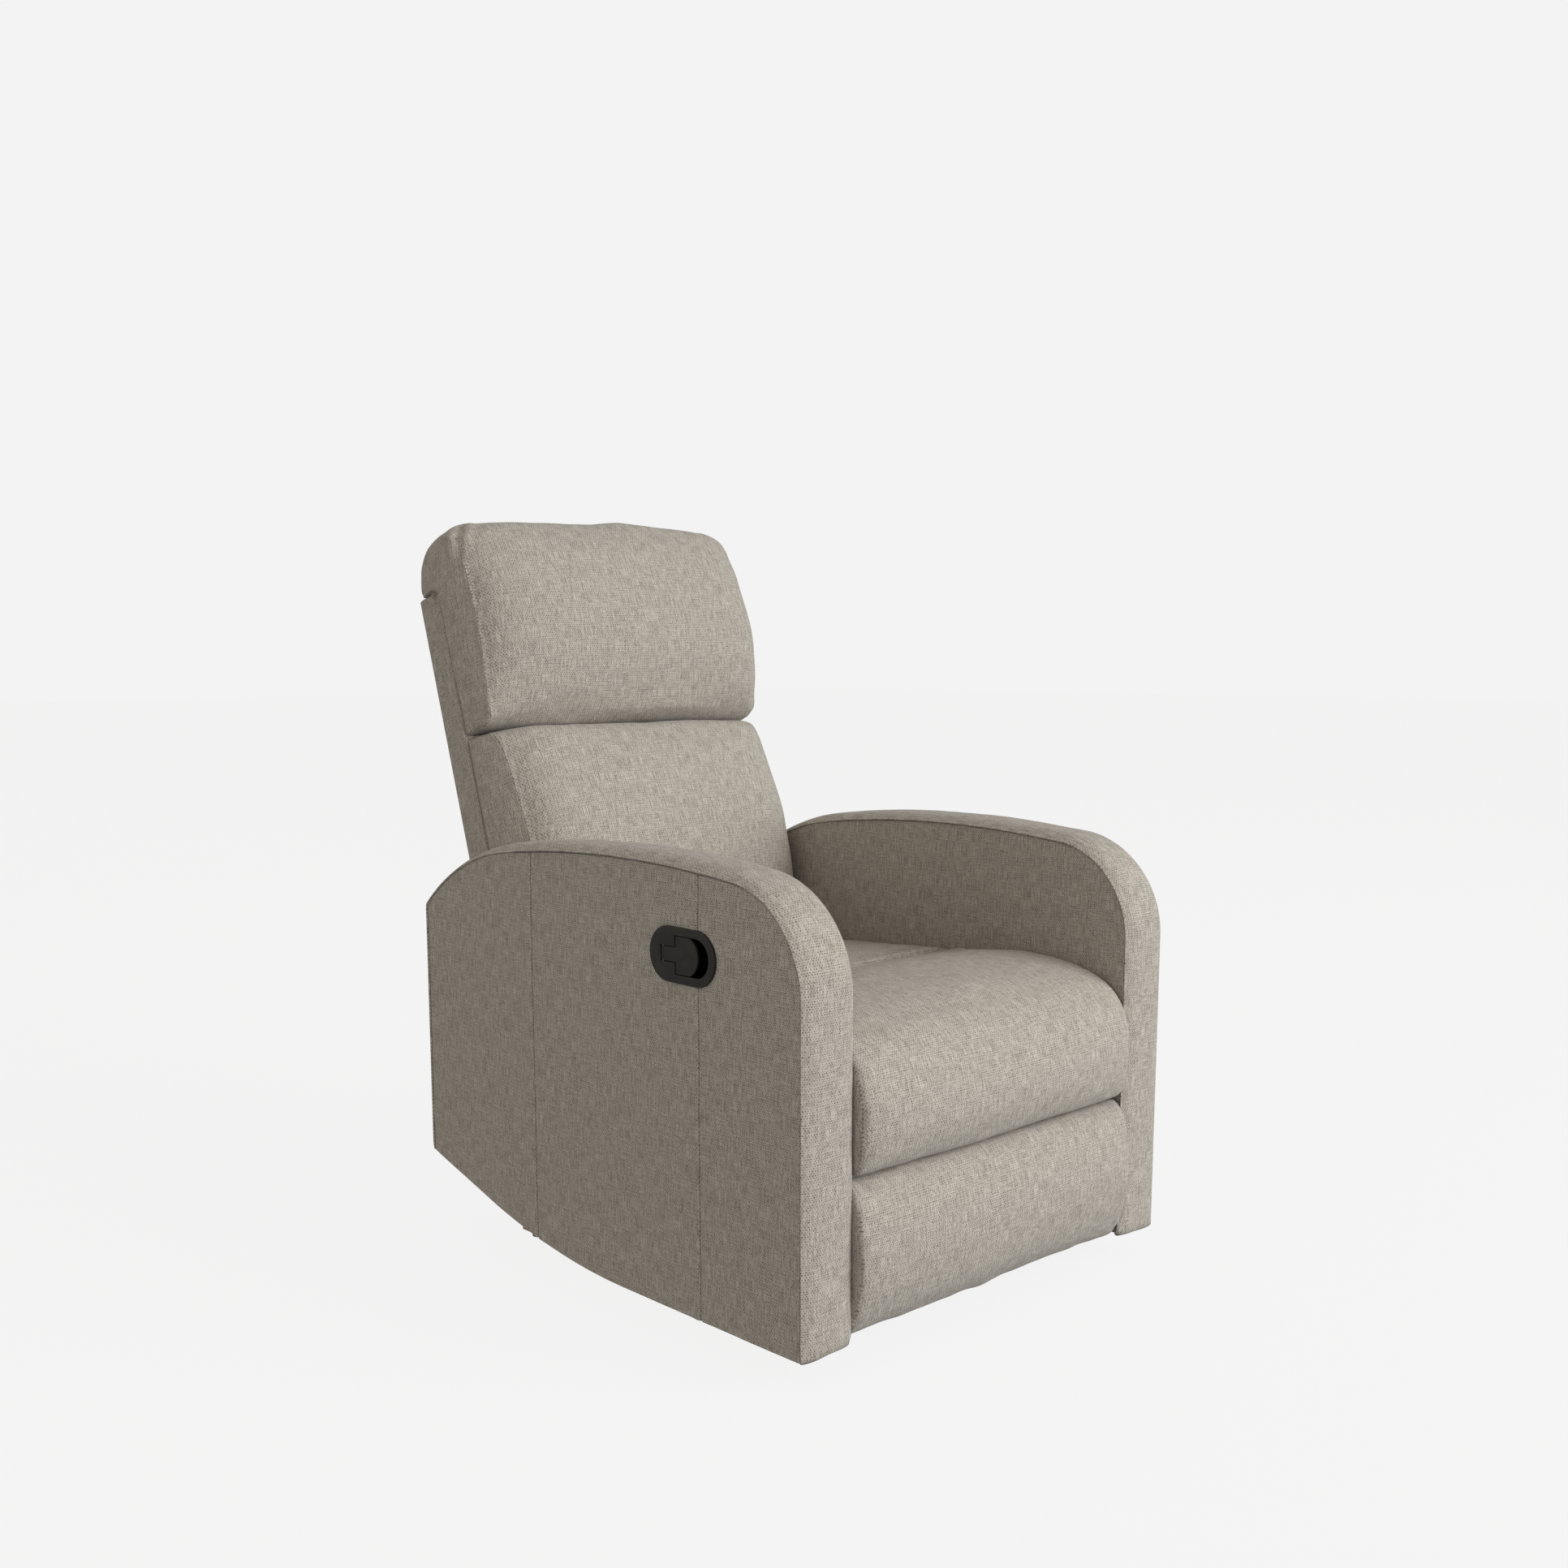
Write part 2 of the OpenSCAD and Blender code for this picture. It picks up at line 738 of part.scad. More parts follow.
module back_bolt_holes() {
    for (z = bolt_z)
        translate([0, -bolt_n, z]) rotate([0, 90, 0]) cylinder(h = back_half, r = 3);
}

module back_frame() {
    post = [back_half - 3 - post_t, back_half - 3];
    color("burlywood") on_back() {
        both() difference() {
            slab(post[0], post[1], frame_n[0], frame_n[1], back_low, back_high - 4);
            back_bolt_holes();
        }
        // The lowest cross rail ends at the brackets
        slab(-bracket_x, bracket_x, frame_n[0], frame_n[1], back_low, back_low + cross_h);
        for (z = [150, back_high - 4 - cross_h])
            slab(-post[0], post[0], frame_n[0], frame_n[1], z, z + cross_h);
    }
}

module back_rear_cover() {
    color([0.69, 0.66, 0.62]) on_back() difference() {
        slab(-back_half, back_half, 0, back_t - 2, back_low - 20, back_high);
        slab(-back_half + 2.8, back_half - 2.8, 3.5, back_t, back_low - 21, back_high - 3);
    }
}

module back_webbing() {
    color("dimgray") on_back()
        for (z = [-110, -40, 30, 100, 220, 290])
            slab(-240, 240, frame_n[1], frame_n[1] + 2, z, z + cross_h);
}

module back_brackets() {
    foot = back_p - back_o;
    n = -foot.x*cos(back_lean) + foot.y*sin(back_lean);
    t = foot.x*sin(back_lean) + foot.y*cos(back_lean);
    color("dimgray") on_back() both() difference() {
        along_x(bracket_x, bracket_x + bracket_t) difference() {
            polygon(concat(arc([-n, t], 13, 180, 360),
                           [[-16, t + 20], [-16, back_low + 110], [-40, back_low + 110], [-46, t + 26]]));
            translate([-n, t]) circle(pivot_r);
        }
        back_bolt_holes();
    }
}

module back_bolts() {
    color("silver") on_back() both() for (z = bolt_z)
        translate([bracket_x, -bolt_n, z]) rotate([0, 90, 0]) {
            cylinder(h = post_t - 2, r = 3);
            translate([0, 0, -3]) cylinder(h = 3, r = 6);
        }
}

module back_pivot_pins() {
    color("silver") both() rivet(bracket_x, plate_x[1] + 0.4, back_p, pivot_r);
}

// A back cushion: a side outline cut to a front outline with rounded corners
module back_cushion(side, low, high, corner_low, corner_high) {
    on_back() intersection() {
        along_x(-back_half, back_half) polygon(side);
        rotate([90, 0, 0]) translate([0, 0, -10]) linear_extrude(220) polygon(rounded([
            [-back_half, low, corner_low], [back_half, low, corner_low],
            [back_half, high, corner_high], [-back_half, high, corner_high]]));
    }
}

module lumbar_cushion() {
    front = -back_t - lumbar_t;
    color([0.69, 0.66, 0.62]) back_cushion(rounded([
        [-back_t - 18, -200, 6], [-back_t, -172, 10], [-back_t, 170, 12], [front + 20, 171, 14],
        [front + 4, 60, 120], [front, -30, 120], [front + 8, -200, 30]]), -200, 172, 16, 16);
}

module head_cushion() {
    color([0.69, 0.66, 0.62]) back_cushion(rounded([
        [-back_t, 176, 12], [-back_t, back_high + 3, 2], [-12, back_high + 4, 8], [-16, 450, 20],
        [-60, 476, 30], [-112, 478, 26], [-152, 385, 60], [-160, 310, 60], [-146, 235, 60], [-112, 175, 16]]),
        174, 480, 16, 34);
}

base_rails();
base_cross_rails();
base_wear_strips();
base_glides();
base_spring_brackets();
base_bolts();
rocker_springs();
rocker_cams();
rocker_spring_brackets();
arm_frame_left();
arm_frame_right();
arm_outer_panel_left();
arm_outer_panel_right();
arm_inner_panel_left();
arm_inner_panel_right();
arm_band_left();
arm_band_right();
arm_bolts();
rear_stretcher();
rear_drape();
seat_side_rails();
seat_front_rail();
seat_rear_rail();
seat_springs();
seat_deck();
seat_cushion();
mechanism_plates();
rear_hinge_plates();
torque_tube();
drive_links();
latch_disc();
knee_pins();
outer_links();
stabiliser_bar();
footrest_pins();
footrest_brackets();
footrest_board();
footrest_pad();
footrest_screws();
footrest_springs();
handle_bezel();
handle_cup();
handle_paddle();
handle_pin();
handle_screws();
release_cable();
cable_bracket();
latch_pin();
latch_pawl();
back_frame();
back_rear_cover();
back_webbing();
back_brackets();
back_pivot_pins();
back_bolts();
lumbar_cushion();
head_cushion();
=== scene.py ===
import json
import math
from contextlib import contextmanager

import bmesh
import bpy
import numpy as np
from mathutils import Matrix, Vector, noise
from mathutils.bvhtree import BVHTree


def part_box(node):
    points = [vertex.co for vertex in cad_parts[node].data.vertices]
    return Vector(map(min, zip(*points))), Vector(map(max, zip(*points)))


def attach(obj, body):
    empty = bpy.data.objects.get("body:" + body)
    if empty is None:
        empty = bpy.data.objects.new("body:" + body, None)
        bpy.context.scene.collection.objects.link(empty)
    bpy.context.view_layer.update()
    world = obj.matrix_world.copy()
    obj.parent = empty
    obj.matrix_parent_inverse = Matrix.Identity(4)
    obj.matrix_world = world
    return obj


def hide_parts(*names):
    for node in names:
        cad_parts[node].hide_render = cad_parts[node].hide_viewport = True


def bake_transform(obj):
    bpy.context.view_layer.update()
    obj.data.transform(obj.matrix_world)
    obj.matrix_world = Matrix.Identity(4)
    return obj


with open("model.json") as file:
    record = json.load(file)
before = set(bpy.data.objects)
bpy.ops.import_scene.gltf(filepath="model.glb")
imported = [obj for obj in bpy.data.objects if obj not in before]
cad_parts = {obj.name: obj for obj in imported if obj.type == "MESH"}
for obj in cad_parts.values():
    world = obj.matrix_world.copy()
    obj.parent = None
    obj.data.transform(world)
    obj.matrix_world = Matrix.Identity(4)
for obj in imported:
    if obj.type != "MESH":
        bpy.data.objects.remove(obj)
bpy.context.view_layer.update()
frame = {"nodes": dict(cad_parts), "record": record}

# The chair's own measurements, in metres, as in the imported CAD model
ARM_LOW, ARM_HIGH = [np.array(v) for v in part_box("arm_band_left")]
ARM_IN, HALF_WIDTH = ARM_LOW[0], ARM_HIGH[0]
ARM_FRONT, ARM_REAR = ARM_LOW[1], ARM_HIGH[1]
ARM_BOTTOM, ARM_TOP = ARM_LOW[2], ARM_HIGH[2]
ARM_MIDDLE = ARM_FRONT + 0.330
BACK_LEAN = math.radians(16.9)
BACK_ORIGIN = np.array([ARM_FRONT + 0.7997, 0.5491])
BACK_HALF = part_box("back_rear_cover")[1][0]
BACK_TOP = 0.399


# ---------------------------------------------------------------- outlines

def arc(centre, radius, start, end, count):
    """Points on an arc between two angles in degrees."""
    a = np.radians(np.linspace(start, end, count))
    return np.column_stack([centre[0] + radius * np.cos(a), centre[1] + radius * np.sin(a)])


def arm_bottom_z(y):
    """Height of the arm's underside at y: level, then a round sweep, then straight up to the rear."""
    radius, angle = 1.067, math.radians(16)
    y = np.asarray(y, dtype=float)
    end_y = ARM_MIDDLE + radius * math.sin(angle)
    end_z = ARM_BOTTOM + radius - radius * math.cos(angle)
    swept = np.clip(y - ARM_MIDDLE, 0, end_y - ARM_MIDDLE)
    sweep = ARM_BOTTOM + radius - np.sqrt(radius * radius - swept ** 2)
    straight = end_z + math.tan(angle) * (y - end_y)
    return np.where(y <= ARM_MIDDLE, ARM_BOTTOM, np.where(y < end_y, sweep, straight))


def arm_path(d):
    """The arm's outline in Y and Z, moved in by d, from its front foot over the top to its rear foot."""
    crown_r, front_r, rear_r = 2.0, 0.128, 0.360
    crown = np.array([ARM_MIDDLE, ARM_TOP - crown_r])
    front_angle = math.acos((ARM_FRONT + front_r - ARM_MIDDLE) / (crown_r - front_r))
    rear_angle = math.radians(82.8)
    front, rear = (crown + (crown_r - r) * np.array([math.cos(a), math.sin(a)])
                   for r, a in ((front_r, front_angle), (rear_r, rear_angle)))
    front_angle, rear_angle = math.degrees(front_angle), math.degrees(rear_angle)
    y0, y1 = ARM_FRONT + d, ARM_REAR - d
    rear_end = math.degrees(math.acos((y1 - rear[0]) / (rear_r - d)))
    return np.vstack([
        [[y0, float(arm_bottom_z(y0))]],
        arc(front, front_r - d, 180, front_angle, 60),
        arc(crown, crown_r - d, front_angle, rear_angle, 80)[1:],
        arc(rear, rear_r - d, rear_angle, rear_end, 60)[1:],
        [[y1, float(arm_bottom_z(y1))]],
    ])


def lengths(points):
    """Distance along a polyline to each of its points."""
    return np.concatenate([[0], np.cumsum(np.linalg.norm(np.diff(points, axis=0), axis=1))])


def points_at(points, t):
    """The points of a polyline at distances t along it."""
    s = lengths(points)
    return np.column_stack([np.interp(t, s, points[:, k]) for k in range(points.shape[1])])


def resample(points, step):
    """A polyline with points about step apart."""
    length = lengths(points)[-1]
    return points_at(points, np.linspace(0, length, max(2, int(round(length / step)) + 1)))


def rounded(corners):
    """A closed outline from (a, b, radius) corners."""
    steps = 8
    out = []
    n = len(corners)
    for i in range(n):
        before, here, after = (np.array(corners[(i + k) % n][:2], dtype=float) for k in (-1, 0, 1))
        r = corners[i][2]
        u = (before - here) / np.linalg.norm(before - here)
        v = (after - here) / np.linalg.norm(after - here)
        half = math.acos(np.clip(u @ v, -1, 1)) / 2
        middle = here + (u + v) / np.linalg.norm(u + v) * r / math.sin(half)
        start = here + u * r / math.tan(half) - middle
        end = here + v * r / math.tan(half) - middle
        a0 = math.atan2(start[1], start[0])
        turn = (math.atan2(end[1], end[0]) - a0 + math.pi) % (2 * math.pi) - math.pi
        for k in range(steps + 1):
            a = a0 + turn * k / steps
            out.append(middle + r * np.array([math.cos(a), math.sin(a)]))
    return np.array(out)


def spline(points, closed, count):
    """A smooth curve through points, as count points evenly spaced along it."""
    steps = 24
    p = np.array(points, dtype=float)
    n = len(p)
    out = []
    for i in range(n if closed else n - 1):
        a, b, c, d = ((p[(i + k) % n] if closed else p[min(max(i + k, 0), n - 1)]) for k in (-1, 0, 1, 2))
        for t in np.linspace(0, 1, steps, endpoint=False):
            out.append(0.5 * (2 * b + (c - a) * t + (2 * a - 5 * b + 4 * c - d) * t * t
                              + (3 * b - a - 3 * c + d) * t ** 3))
    out.append(p[0] if closed else p[-1])
    out = np.array(out)
    t = np.linspace(0, lengths(out)[-1], count + 1 if closed else count)
    out = points_at(out, t)
    return out[:-1] if closed else out


# ---------------------------------------------------------------- numbers

def ramp(distance, width):
    """0 up to a distance of 0, rising evenly to 1 at width."""
    return np.clip(distance / width, 0, 1)


def bump(distance, width):
    """1 at a distance of 0, falling smoothly away on both sides."""
    return np.exp(-(distance / width) ** 2)


def wobble(points, scale, seed=0.0):
    """Smooth noise from -1 to 1 at each point, about 1/scale metres across."""
    return np.array([noise.noise(Vector((p[0] * scale + seed, p[1] * scale - seed, p[2] * scale + 2 * seed)))
                     for p in points])


def along_x(points, scale, seed):
    """Noise that changes across the chair only."""
    return wobble(points * [1, 0, 0], scale, seed)


def segment_distance(points, path):
    """Distance from each point to a polyline, in blocks to spare memory."""
    block = 4000
    a, b = path[:-1], path[1:]
    ab = b - a
    ab2 = np.maximum((ab ** 2).sum(1), 1e-18)
    out = np.empty(len(points))
    for i in range(0, len(points), block):
        p = points[i:i + block, None, :]
        t = np.clip(((p - a) * ab).sum(2) / ab2, 0, 1)
        out[i:i + block] = np.sqrt((((a + t[..., None] * ab) - p) ** 2).sum(2)).min(1)
    return out


# ---------------------------------------------------------------- meshes

def add_object(name, data):
    """A new object in the scene."""
    obj = bpy.data.objects.new(name, data)
    bpy.context.collection.objects.link(obj)
    return obj


def new_mesh(name, points, faces):
    """A mesh from points and faces."""
    mesh = bpy.data.meshes.new(name)
    mesh.from_pydata([tuple(p) for p in points], [], [tuple(f) for f in faces])
    mesh.validate()
    return mesh


@contextmanager
def editing(mesh):
    """Opens a mesh as a bmesh and writes it back."""
    bm = bmesh.new()
    bm.from_mesh(mesh)
    yield bm
    bm.to_mesh(mesh)
    bm.free()


def read(items, field, width=1, kind=float):
    """One field of all of a mesh's points, corners or faces."""
    out = np.empty(len(items) * width, dtype=kind)
    items.foreach_get(field, out)
    return out.reshape(-1, width) if width > 1 else out


def positions(obj):
    return read(obj.data.vertices, "co", 3)


def normals(obj):
    return read(obj.data.vertices, "normal", 3)


def set_positions(obj, points):
    obj.data.vertices.foreach_set("co", np.asarray(points, dtype=np.float64).ravel())
    obj.data.update()


def put_seam(mesh, values):
    """Stores each point's distance to a seam, for the cloth's material."""
    layer = mesh.attributes.new("seam", "FLOAT", "POINT")
    layer.data.foreach_set("value", np.asarray(values, dtype=np.float32))


def put_uv(mesh, corners):
    """Stores each corner's place on the cloth, in metres, for its weave."""
    layer = mesh.uv_layers.new(name="weave")
    layer.data.foreach_set("uv", np.asarray(corners, dtype=np.float32).ravel())


def shade_smooth(mesh):
    mesh.polygons.foreach_set("use_smooth", np.ones(len(mesh.polygons), dtype=bool))


def build_mesh(name, points, faces, uv=None, seam=None):
    """A smooth mesh object. Cloth has weave coordinates and a distance to a seam for each point."""
    mesh = new_mesh(name, points, faces)
    if uv is not None:
        put_uv(mesh, np.asarray(uv)[read(mesh.loops, "vertex_index", kind=np.int32)])
    if seam is not None:
        put_seam(mesh, seam)
    shade_smooth(mesh)
    mesh.update()
    return add_object(name, mesh)


def grid_faces(rows, columns, flip):
    """Quads over a grid of points."""
    i, j = np.meshgrid(np.arange(rows - 1), np.arange(columns - 1), indexing="ij")
    a = (i * columns + j).ravel()
    faces = np.column_stack([a, a + 1, a + columns + 1, a + columns])
    return faces[:, ::-1] if flip else faces


def ring_faces(rows, columns):
    """Quads between rings of points, each closed on itself."""
    i, j = np.meshgrid(np.arange(rows - 1), np.arange(columns), indexing="ij")
    k = (j + 1) % columns
    return np.column_stack([(i * columns + j).ravel(), (i * columns + k).ravel(),
                            ((i + 1) * columns + k).ravel(), ((i + 1) * columns + j).ravel()])


def drop_loose(obj):
    """Removes points that no face uses."""
    with editing(obj.data) as bm:
        bmesh.ops.delete(bm, geom=[v for v in bm.verts if not v.link_faces], context="VERTS")


def fix_normals(obj):
    with editing(obj.data) as bm:
        bmesh.ops.recalc_face_normals(bm, faces=bm.faces)


def smooth_mesh(obj, times):
    with editing(obj.data) as bm:
        for _ in range(times):
            bmesh.ops.smooth_vert(bm, verts=bm.verts, factor=0.5,
                                  use_axis_x=True, use_axis_y=True, use_axis_z=True)


def evaluated(obj):
    """The mesh that an object's modifiers or bevel make of it."""
    graph = bpy.context.evaluated_depsgraph_get()
    return bpy.data.meshes.new_from_object(obj.evaluated_get(graph))


def bake_modifiers(obj):
    """Replaces an object's mesh by what its modifiers make of it."""
    mesh = evaluated(obj)
    old = obj.data
    obj.modifiers.clear()
    obj.data = mesh
    mesh.name = obj.name
    bpy.data.meshes.remove(old)
    shade_smooth(mesh)


def thicken(obj, thickness):
    """Gives a sheet of mesh its thickness on the inner side."""
    modifier = obj.modifiers.new("thickness", "SOLIDIFY")
    modifier.thickness = thickness
    modifier.offset = -1
    modifier.use_even_offset = False


# ---------------------------------------------------------------- materials

class Field:
    """A node's output. Arithmetic on it adds Math nodes."""

    def __init__(self, nodes, socket):
        self.nodes = nodes
        self.socket = socket

    def __add__(self, other):
        return self.nodes.math("ADD", self, other)

    def __sub__(self, other):
        return self.nodes.math("SUBTRACT", self, other)

    def __rsub__(self, other):
        return self.nodes.math("SUBTRACT", other, self)

    def __mul__(self, other):
        return self.nodes.math("MULTIPLY", self, other)

    def __truediv__(self, other):
        return self.nodes.math("DIVIDE", self, other)

    def __pow__(self, other):
        return self.nodes.math("POWER", self, other)

    def __mod__(self, other):
        return self.nodes.math("FLOORED_MODULO", self, other)


class Nodes:
    """A short way to write the nodes of a material or a world."""

    # Where a Mix node keeps its colours
    MIX_A, MIX_B, MIX_RESULT = 6, 7, 2

    def __init__(self, owner):
        self.owner = owner
        owner.use_nodes = True
        self.tree = owner.node_tree
        self.tree.nodes.clear()

    def node(self, kind, output, inputs=(), **options):
        """One output of a new node, whose inputs are each linked to a field or set to a value."""
        node = self.tree.nodes.new(kind)
        for key, value in options.items():
            setattr(node, key, value)
        for key, value in dict(inputs).items():
            if isinstance(value, Field):
                self.tree.links.new(value.socket, node.inputs[key])
            else:
                node.inputs[key].default_value = value
        return None if output is None else Field(self, node.outputs[output])

    def math(self, operation, *values):
        return self.node("ShaderNodeMath", 0, enumerate(values), operation=operation)

    def smooth(self, value, low, high, out_low=0.0, out_high=1.0):
        """value mapped smoothly from low..high to out_low..out_high."""
        return self.node("ShaderNodeMapRange", "Result",
                         {"Value": value, "From Min": low, "From Max": high,
                          "To Min": out_low, "To Max": out_high},
                         interpolation_type="SMOOTHSTEP")

    def noise(self, vector, scale, detail=2.0, rough=0.5):
        return self.node("ShaderNodeTexNoise", "Fac",
                         {"Vector": vector, "Scale": scale, "Detail": detail, "Roughness": rough})

    def white(self, vector):
        return self.node("ShaderNodeTexWhiteNoise", "Value", {"Vector": vector}, noise_dimensions="3D")

    def combine(self, x, y, z):
        return self.node("ShaderNodeCombineXYZ", 0, enumerate((x, y, z)))

    def split(self, vector):
        """The X, Y and Z of a vector."""
        first = self.node("ShaderNodeSeparateXYZ", 0, {0: vector})
        return [Field(self, socket) for socket in first.socket.node.outputs]

    def mapped(self, vector, scale):
        return self.node("ShaderNodeMapping", 0, {"Vector": vector, "Scale": scale})

    def mix(self, factor, a, b, blend="MIX"):
        return self.node("ShaderNodeMix", self.MIX_RESULT, {"Factor": factor, self.MIX_A: a, self.MIX_B: b},
                         data_type="RGBA", blend_type=blend)

    def where(self):
        """The object's own coordinates, in metres."""
        return self.node("ShaderNodeTexCoord", "Object")

    def camera_ray(self):
        return self.node("ShaderNodeLightPath", "Is Camera Ray")

    def bump(self, height, distance, strength):
        return self.node("ShaderNodeBump", "Normal",
                         {"Strength": strength, "Distance": distance, "Height": height})

    def finish(self, colour, roughness, normal, **constants):
        """Ends a material in a Principled shader, with the constants set on its own sockets."""
        inputs = {"Base Color": colour, "Roughness": roughness, "Normal": normal}
        inputs.update((key.replace("_", " "), value) for key, value in constants.items())
        shader = self.node("ShaderNodeBsdfPrincipled", 0, inputs)
        self.node("ShaderNodeOutputMaterial", None, {"Surface": shader})
        return self.owner


def new_material(name):
    return Nodes(bpy.data.materials.new(name))


def rgb(r, g, b):
    return (r, g, b, 1.0)


# The weave's dots: distance along a row and between rows, and half their size in those units
DOT_PITCH = 0.00375
ROW_PITCH = 0.00285
DOT_HALF = (0.34, 0.40)


def fabric_material():
    """Greige melange cloth: light threads round staggered dark dots, with slubs and stitched seams, painted
    shade in the seams' sunk lines and a painted highlight beside them.
    """
    n = new_material("greige_weave")
    weave = n.node("ShaderNodeUVMap", 0, uv_map="weave")
    x, y, _ = n.split(weave)
    # The threads wander a little
    sway = (n.noise(weave, 120, 2) - 0.5) * 0.8 + (n.noise(weave, 420, 1) - 0.5) * 0.3
    v = y / ROW_PITCH + sway * -0.7
    row = n.math("FLOOR", v)
    u = x / DOT_PITCH + sway + row % 2.0 * 0.5
    column = n.math("FLOOR", u)
    du = n.math("FRACT", u) - 0.5
    dv = n.math("FRACT", v) - 0.5
    distance = n.math("SQRT", (du / DOT_HALF[0]) ** 2.0 + (dv / DOT_HALF[1]) ** 2.0)
    depth = n.smooth(n.white(n.combine(column, row, 0.0)), 0.0, 1.0, 0.30, 0.86)
    dot = n.smooth(distance, 0.45, 1.15, 1.0, 0.0) * depth
    # Slub yarns, lighter and darker, down and across the cloth
    down, across = (n.smooth(n.noise(n.mapped(weave, scale), 1, 3, 0.6), 0.34, 0.66, -1.0, 1.0)
                    for scale in ((760, 42, 1), (38, 720, 1)))
    slub = down * 0.58 + across * 0.36
    mottle = n.smooth(n.noise(weave, 55, 4, 0.65), 0.3, 0.7, -1.0, 1.0)
    fibre = n.noise(weave, 1900, 2, 0.7)
    tone = n.smooth(slub, -1.0, 1.0)
    light = n.mix(tone, rgb(0.322, 0.291, 0.249), rgb(0.582, 0.539, 0.476))
    dark = n.mix(tone, rgb(0.112, 0.097, 0.080), rgb(0.225, 0.200, 0.168))
    shade = mottle * 0.045 + 1.0 + (fibre - 0.5) * 0.30
    # Seams: a sunk line, darkened with painted shade, broken by the stitches that cross it
    seam = n.math("ABSOLUTE", n.node("ShaderNodeAttribute", "Fac", attribute_name="seam"))
    stitch = n.smooth(n.noise(weave, 330, 1), 0.42, 0.58, 0.40, 1.0)
    line = n.smooth(seam, 0.0003, 0.0010, 1.0, 0.0) * stitch
    shade = shade * (1.0 - line * 0.52)
    # Painted highlight: the cloth beside a seam, where it stands up as a ridge, is paler
    seam_highlight = n.smooth(seam, 0.0008, 0.0018) * n.smooth(seam, 0.0018, 0.0046, 1.0, 0.0)
    shade = shade + seam_highlight * 0.10
    colour = n.mix(1.0, n.mix(dot, light, dark), n.combine(shade, shade, shade), "MULTIPLY")
    height = slub * 0.25 - dot + fibre * 0.35 - line * 1.8
    return n.finish(colour, n.smooth(dot, 0.0, 1.0, 0.86, 0.97), n.bump(height, 0.00032, 0.9),
                    Sheen_Weight=0.12, Sheen_Roughness=0.45, Specular_IOR_Level=0.22)


def plastic_material():
    """Fine-grained dark moulded plastic."""
    n = new_material("grained_plastic")
    where = n.where()
    grain = n.noise(where, 2600, 2, 0.6)
    patch = n.noise(where, 60, 3)
    colour = n.mix(n.smooth(patch, 0.35, 0.65), rgb(0.021, 0.020, 0.0175), rgb(0.030, 0.029, 0.025))
    rough = n.smooth(grain * 0.5 + patch * 0.5, 0.3, 0.7, 0.44, 0.62)
    return n.finish(colour, rough, n.bump(grain, 0.00008, 0.7), Specular_IOR_Level=0.45)


def wood_material():
    """Pale sawn hardwood with long grain."""
    n = new_material("sawn_hardwood")
    where = n.where()
    bend = n.noise(where, 6, 3)
    wave = n.node("ShaderNodeTexWave", "Fac",
                  {"Vector": n.mapped(where, (1.0, 0.12, 1.0)), "Scale": 28, "Distortion": 5, "Detail": 3},
                  wave_type="RINGS", rings_direction="Y")
    fine = n.noise(n.mapped(where, (300, 14, 300)), 1, 3)
    ring = (wave + fine) * 0.5
    colour = n.mix(n.smooth(ring, 0.2, 0.8), rgb(0.48, 0.31, 0.165), rgb(0.66, 0.47, 0.28))
    colour = n.mix(n.smooth(bend, 0.35, 0.7), colour, rgb(0.40, 0.25, 0.13))
    return n.finish(colour, n.smooth(fine, 0.3, 0.7, 0.55, 0.75), n.bump(ring, 0.0003, 0.5))


def steel_material(name, base, worn, metallic):
    """Steel with a plated or painted coat, scuffed where parts rub."""
    n = new_material(name)
    where = n.where()
    scratch = n.noise(n.mapped(where, (40, 900, 900)), 1, 3, 0.6)
    patch = n.noise(where, 45, 4, 0.6)
    colour = n.mix(n.smooth(scratch * patch, 0.27, 0.42), base, worn)
    rough = n.smooth(scratch + patch, 0.7, 1.3, 0.28, 0.52)
    return n.finish(colour, rough, n.bump(scratch, 0.00005, 0.5), Metallic=metallic)


def cloth_material(name, base, light, pitch):
    """A plain woven technical cloth."""
    n = new_material(name)
    where = n.where()
    x, y, z = n.split(where)
    a, b = (n.math("SINE", place * (2 * math.pi / pitch)) for place in (x, y + z))
    weave = n.smooth(a * b, -1.0, 1.0)
    patch = n.noise(where, 40, 3)
    colour = n.mix(weave * n.smooth(patch, 0.2, 0.8, 0.6, 1.0), base, light)
    return n.finish(colour, n.smooth(patch, 0.3, 0.7, 0.82, 0.95), n.bump(weave, 0.0003, 0.8))


def rubber_material():
    """Black cable sheath, a little dusty."""
    n = new_material("cable_rubber")
    where = n.where()
    patch = n.noise(where, 120, 3)
    colour = n.mix(n.smooth(patch, 0.3, 0.7), rgb(0.012, 0.012, 0.012), rgb(0.028, 0.028, 0.027))
    rough = n.smooth(patch, 0.3, 0.7, 0.45, 0.7)
    return n.finish(colour, rough, n.bump(n.noise(where, 900, 2), 0.00008, 0.6))


FABRIC = fabric_material()
PLASTIC = plastic_material()
CAD_MATERIALS = {
    "hardwood": wood_material(),
    "black_plastic": PLASTIC,
    "zinc_steel": steel_material("plated_steel", rgb(0.55, 0.55, 0.54), rgb(0.72, 0.71, 0.69), 1.0),
    "black_steel": steel_material("painted_steel", rgb(0.028, 0.028, 0.029), rgb(0.16, 0.155, 0.15), 0.55),
    "deck_cloth": cloth_material("deck_weave", rgb(0.045, 0.045, 0.046), rgb(0.12, 0.12, 0.12), 0.0024),
    "webbing": cloth_material("webbing_weave", rgb(0.10, 0.085, 0.065), rgb(0.24, 0.21, 0.17), 0.0030),
    "cable_sheath": rubber_material(),
}


def dress_cad():
    """Gives every carried-over CAD node its slot's material."""
    for part in frame["record"]["subparts"]:
        obj = frame["nodes"].get(part["node"])
        material = CAD_MATERIALS.get(part["material_slot"])
        if obj is None or material is None:
            continue
        if not obj.material_slots:
            obj.data.materials.append(material)
        for slot in obj.material_slots:
            slot.link = "OBJECT"
            slot.material = material


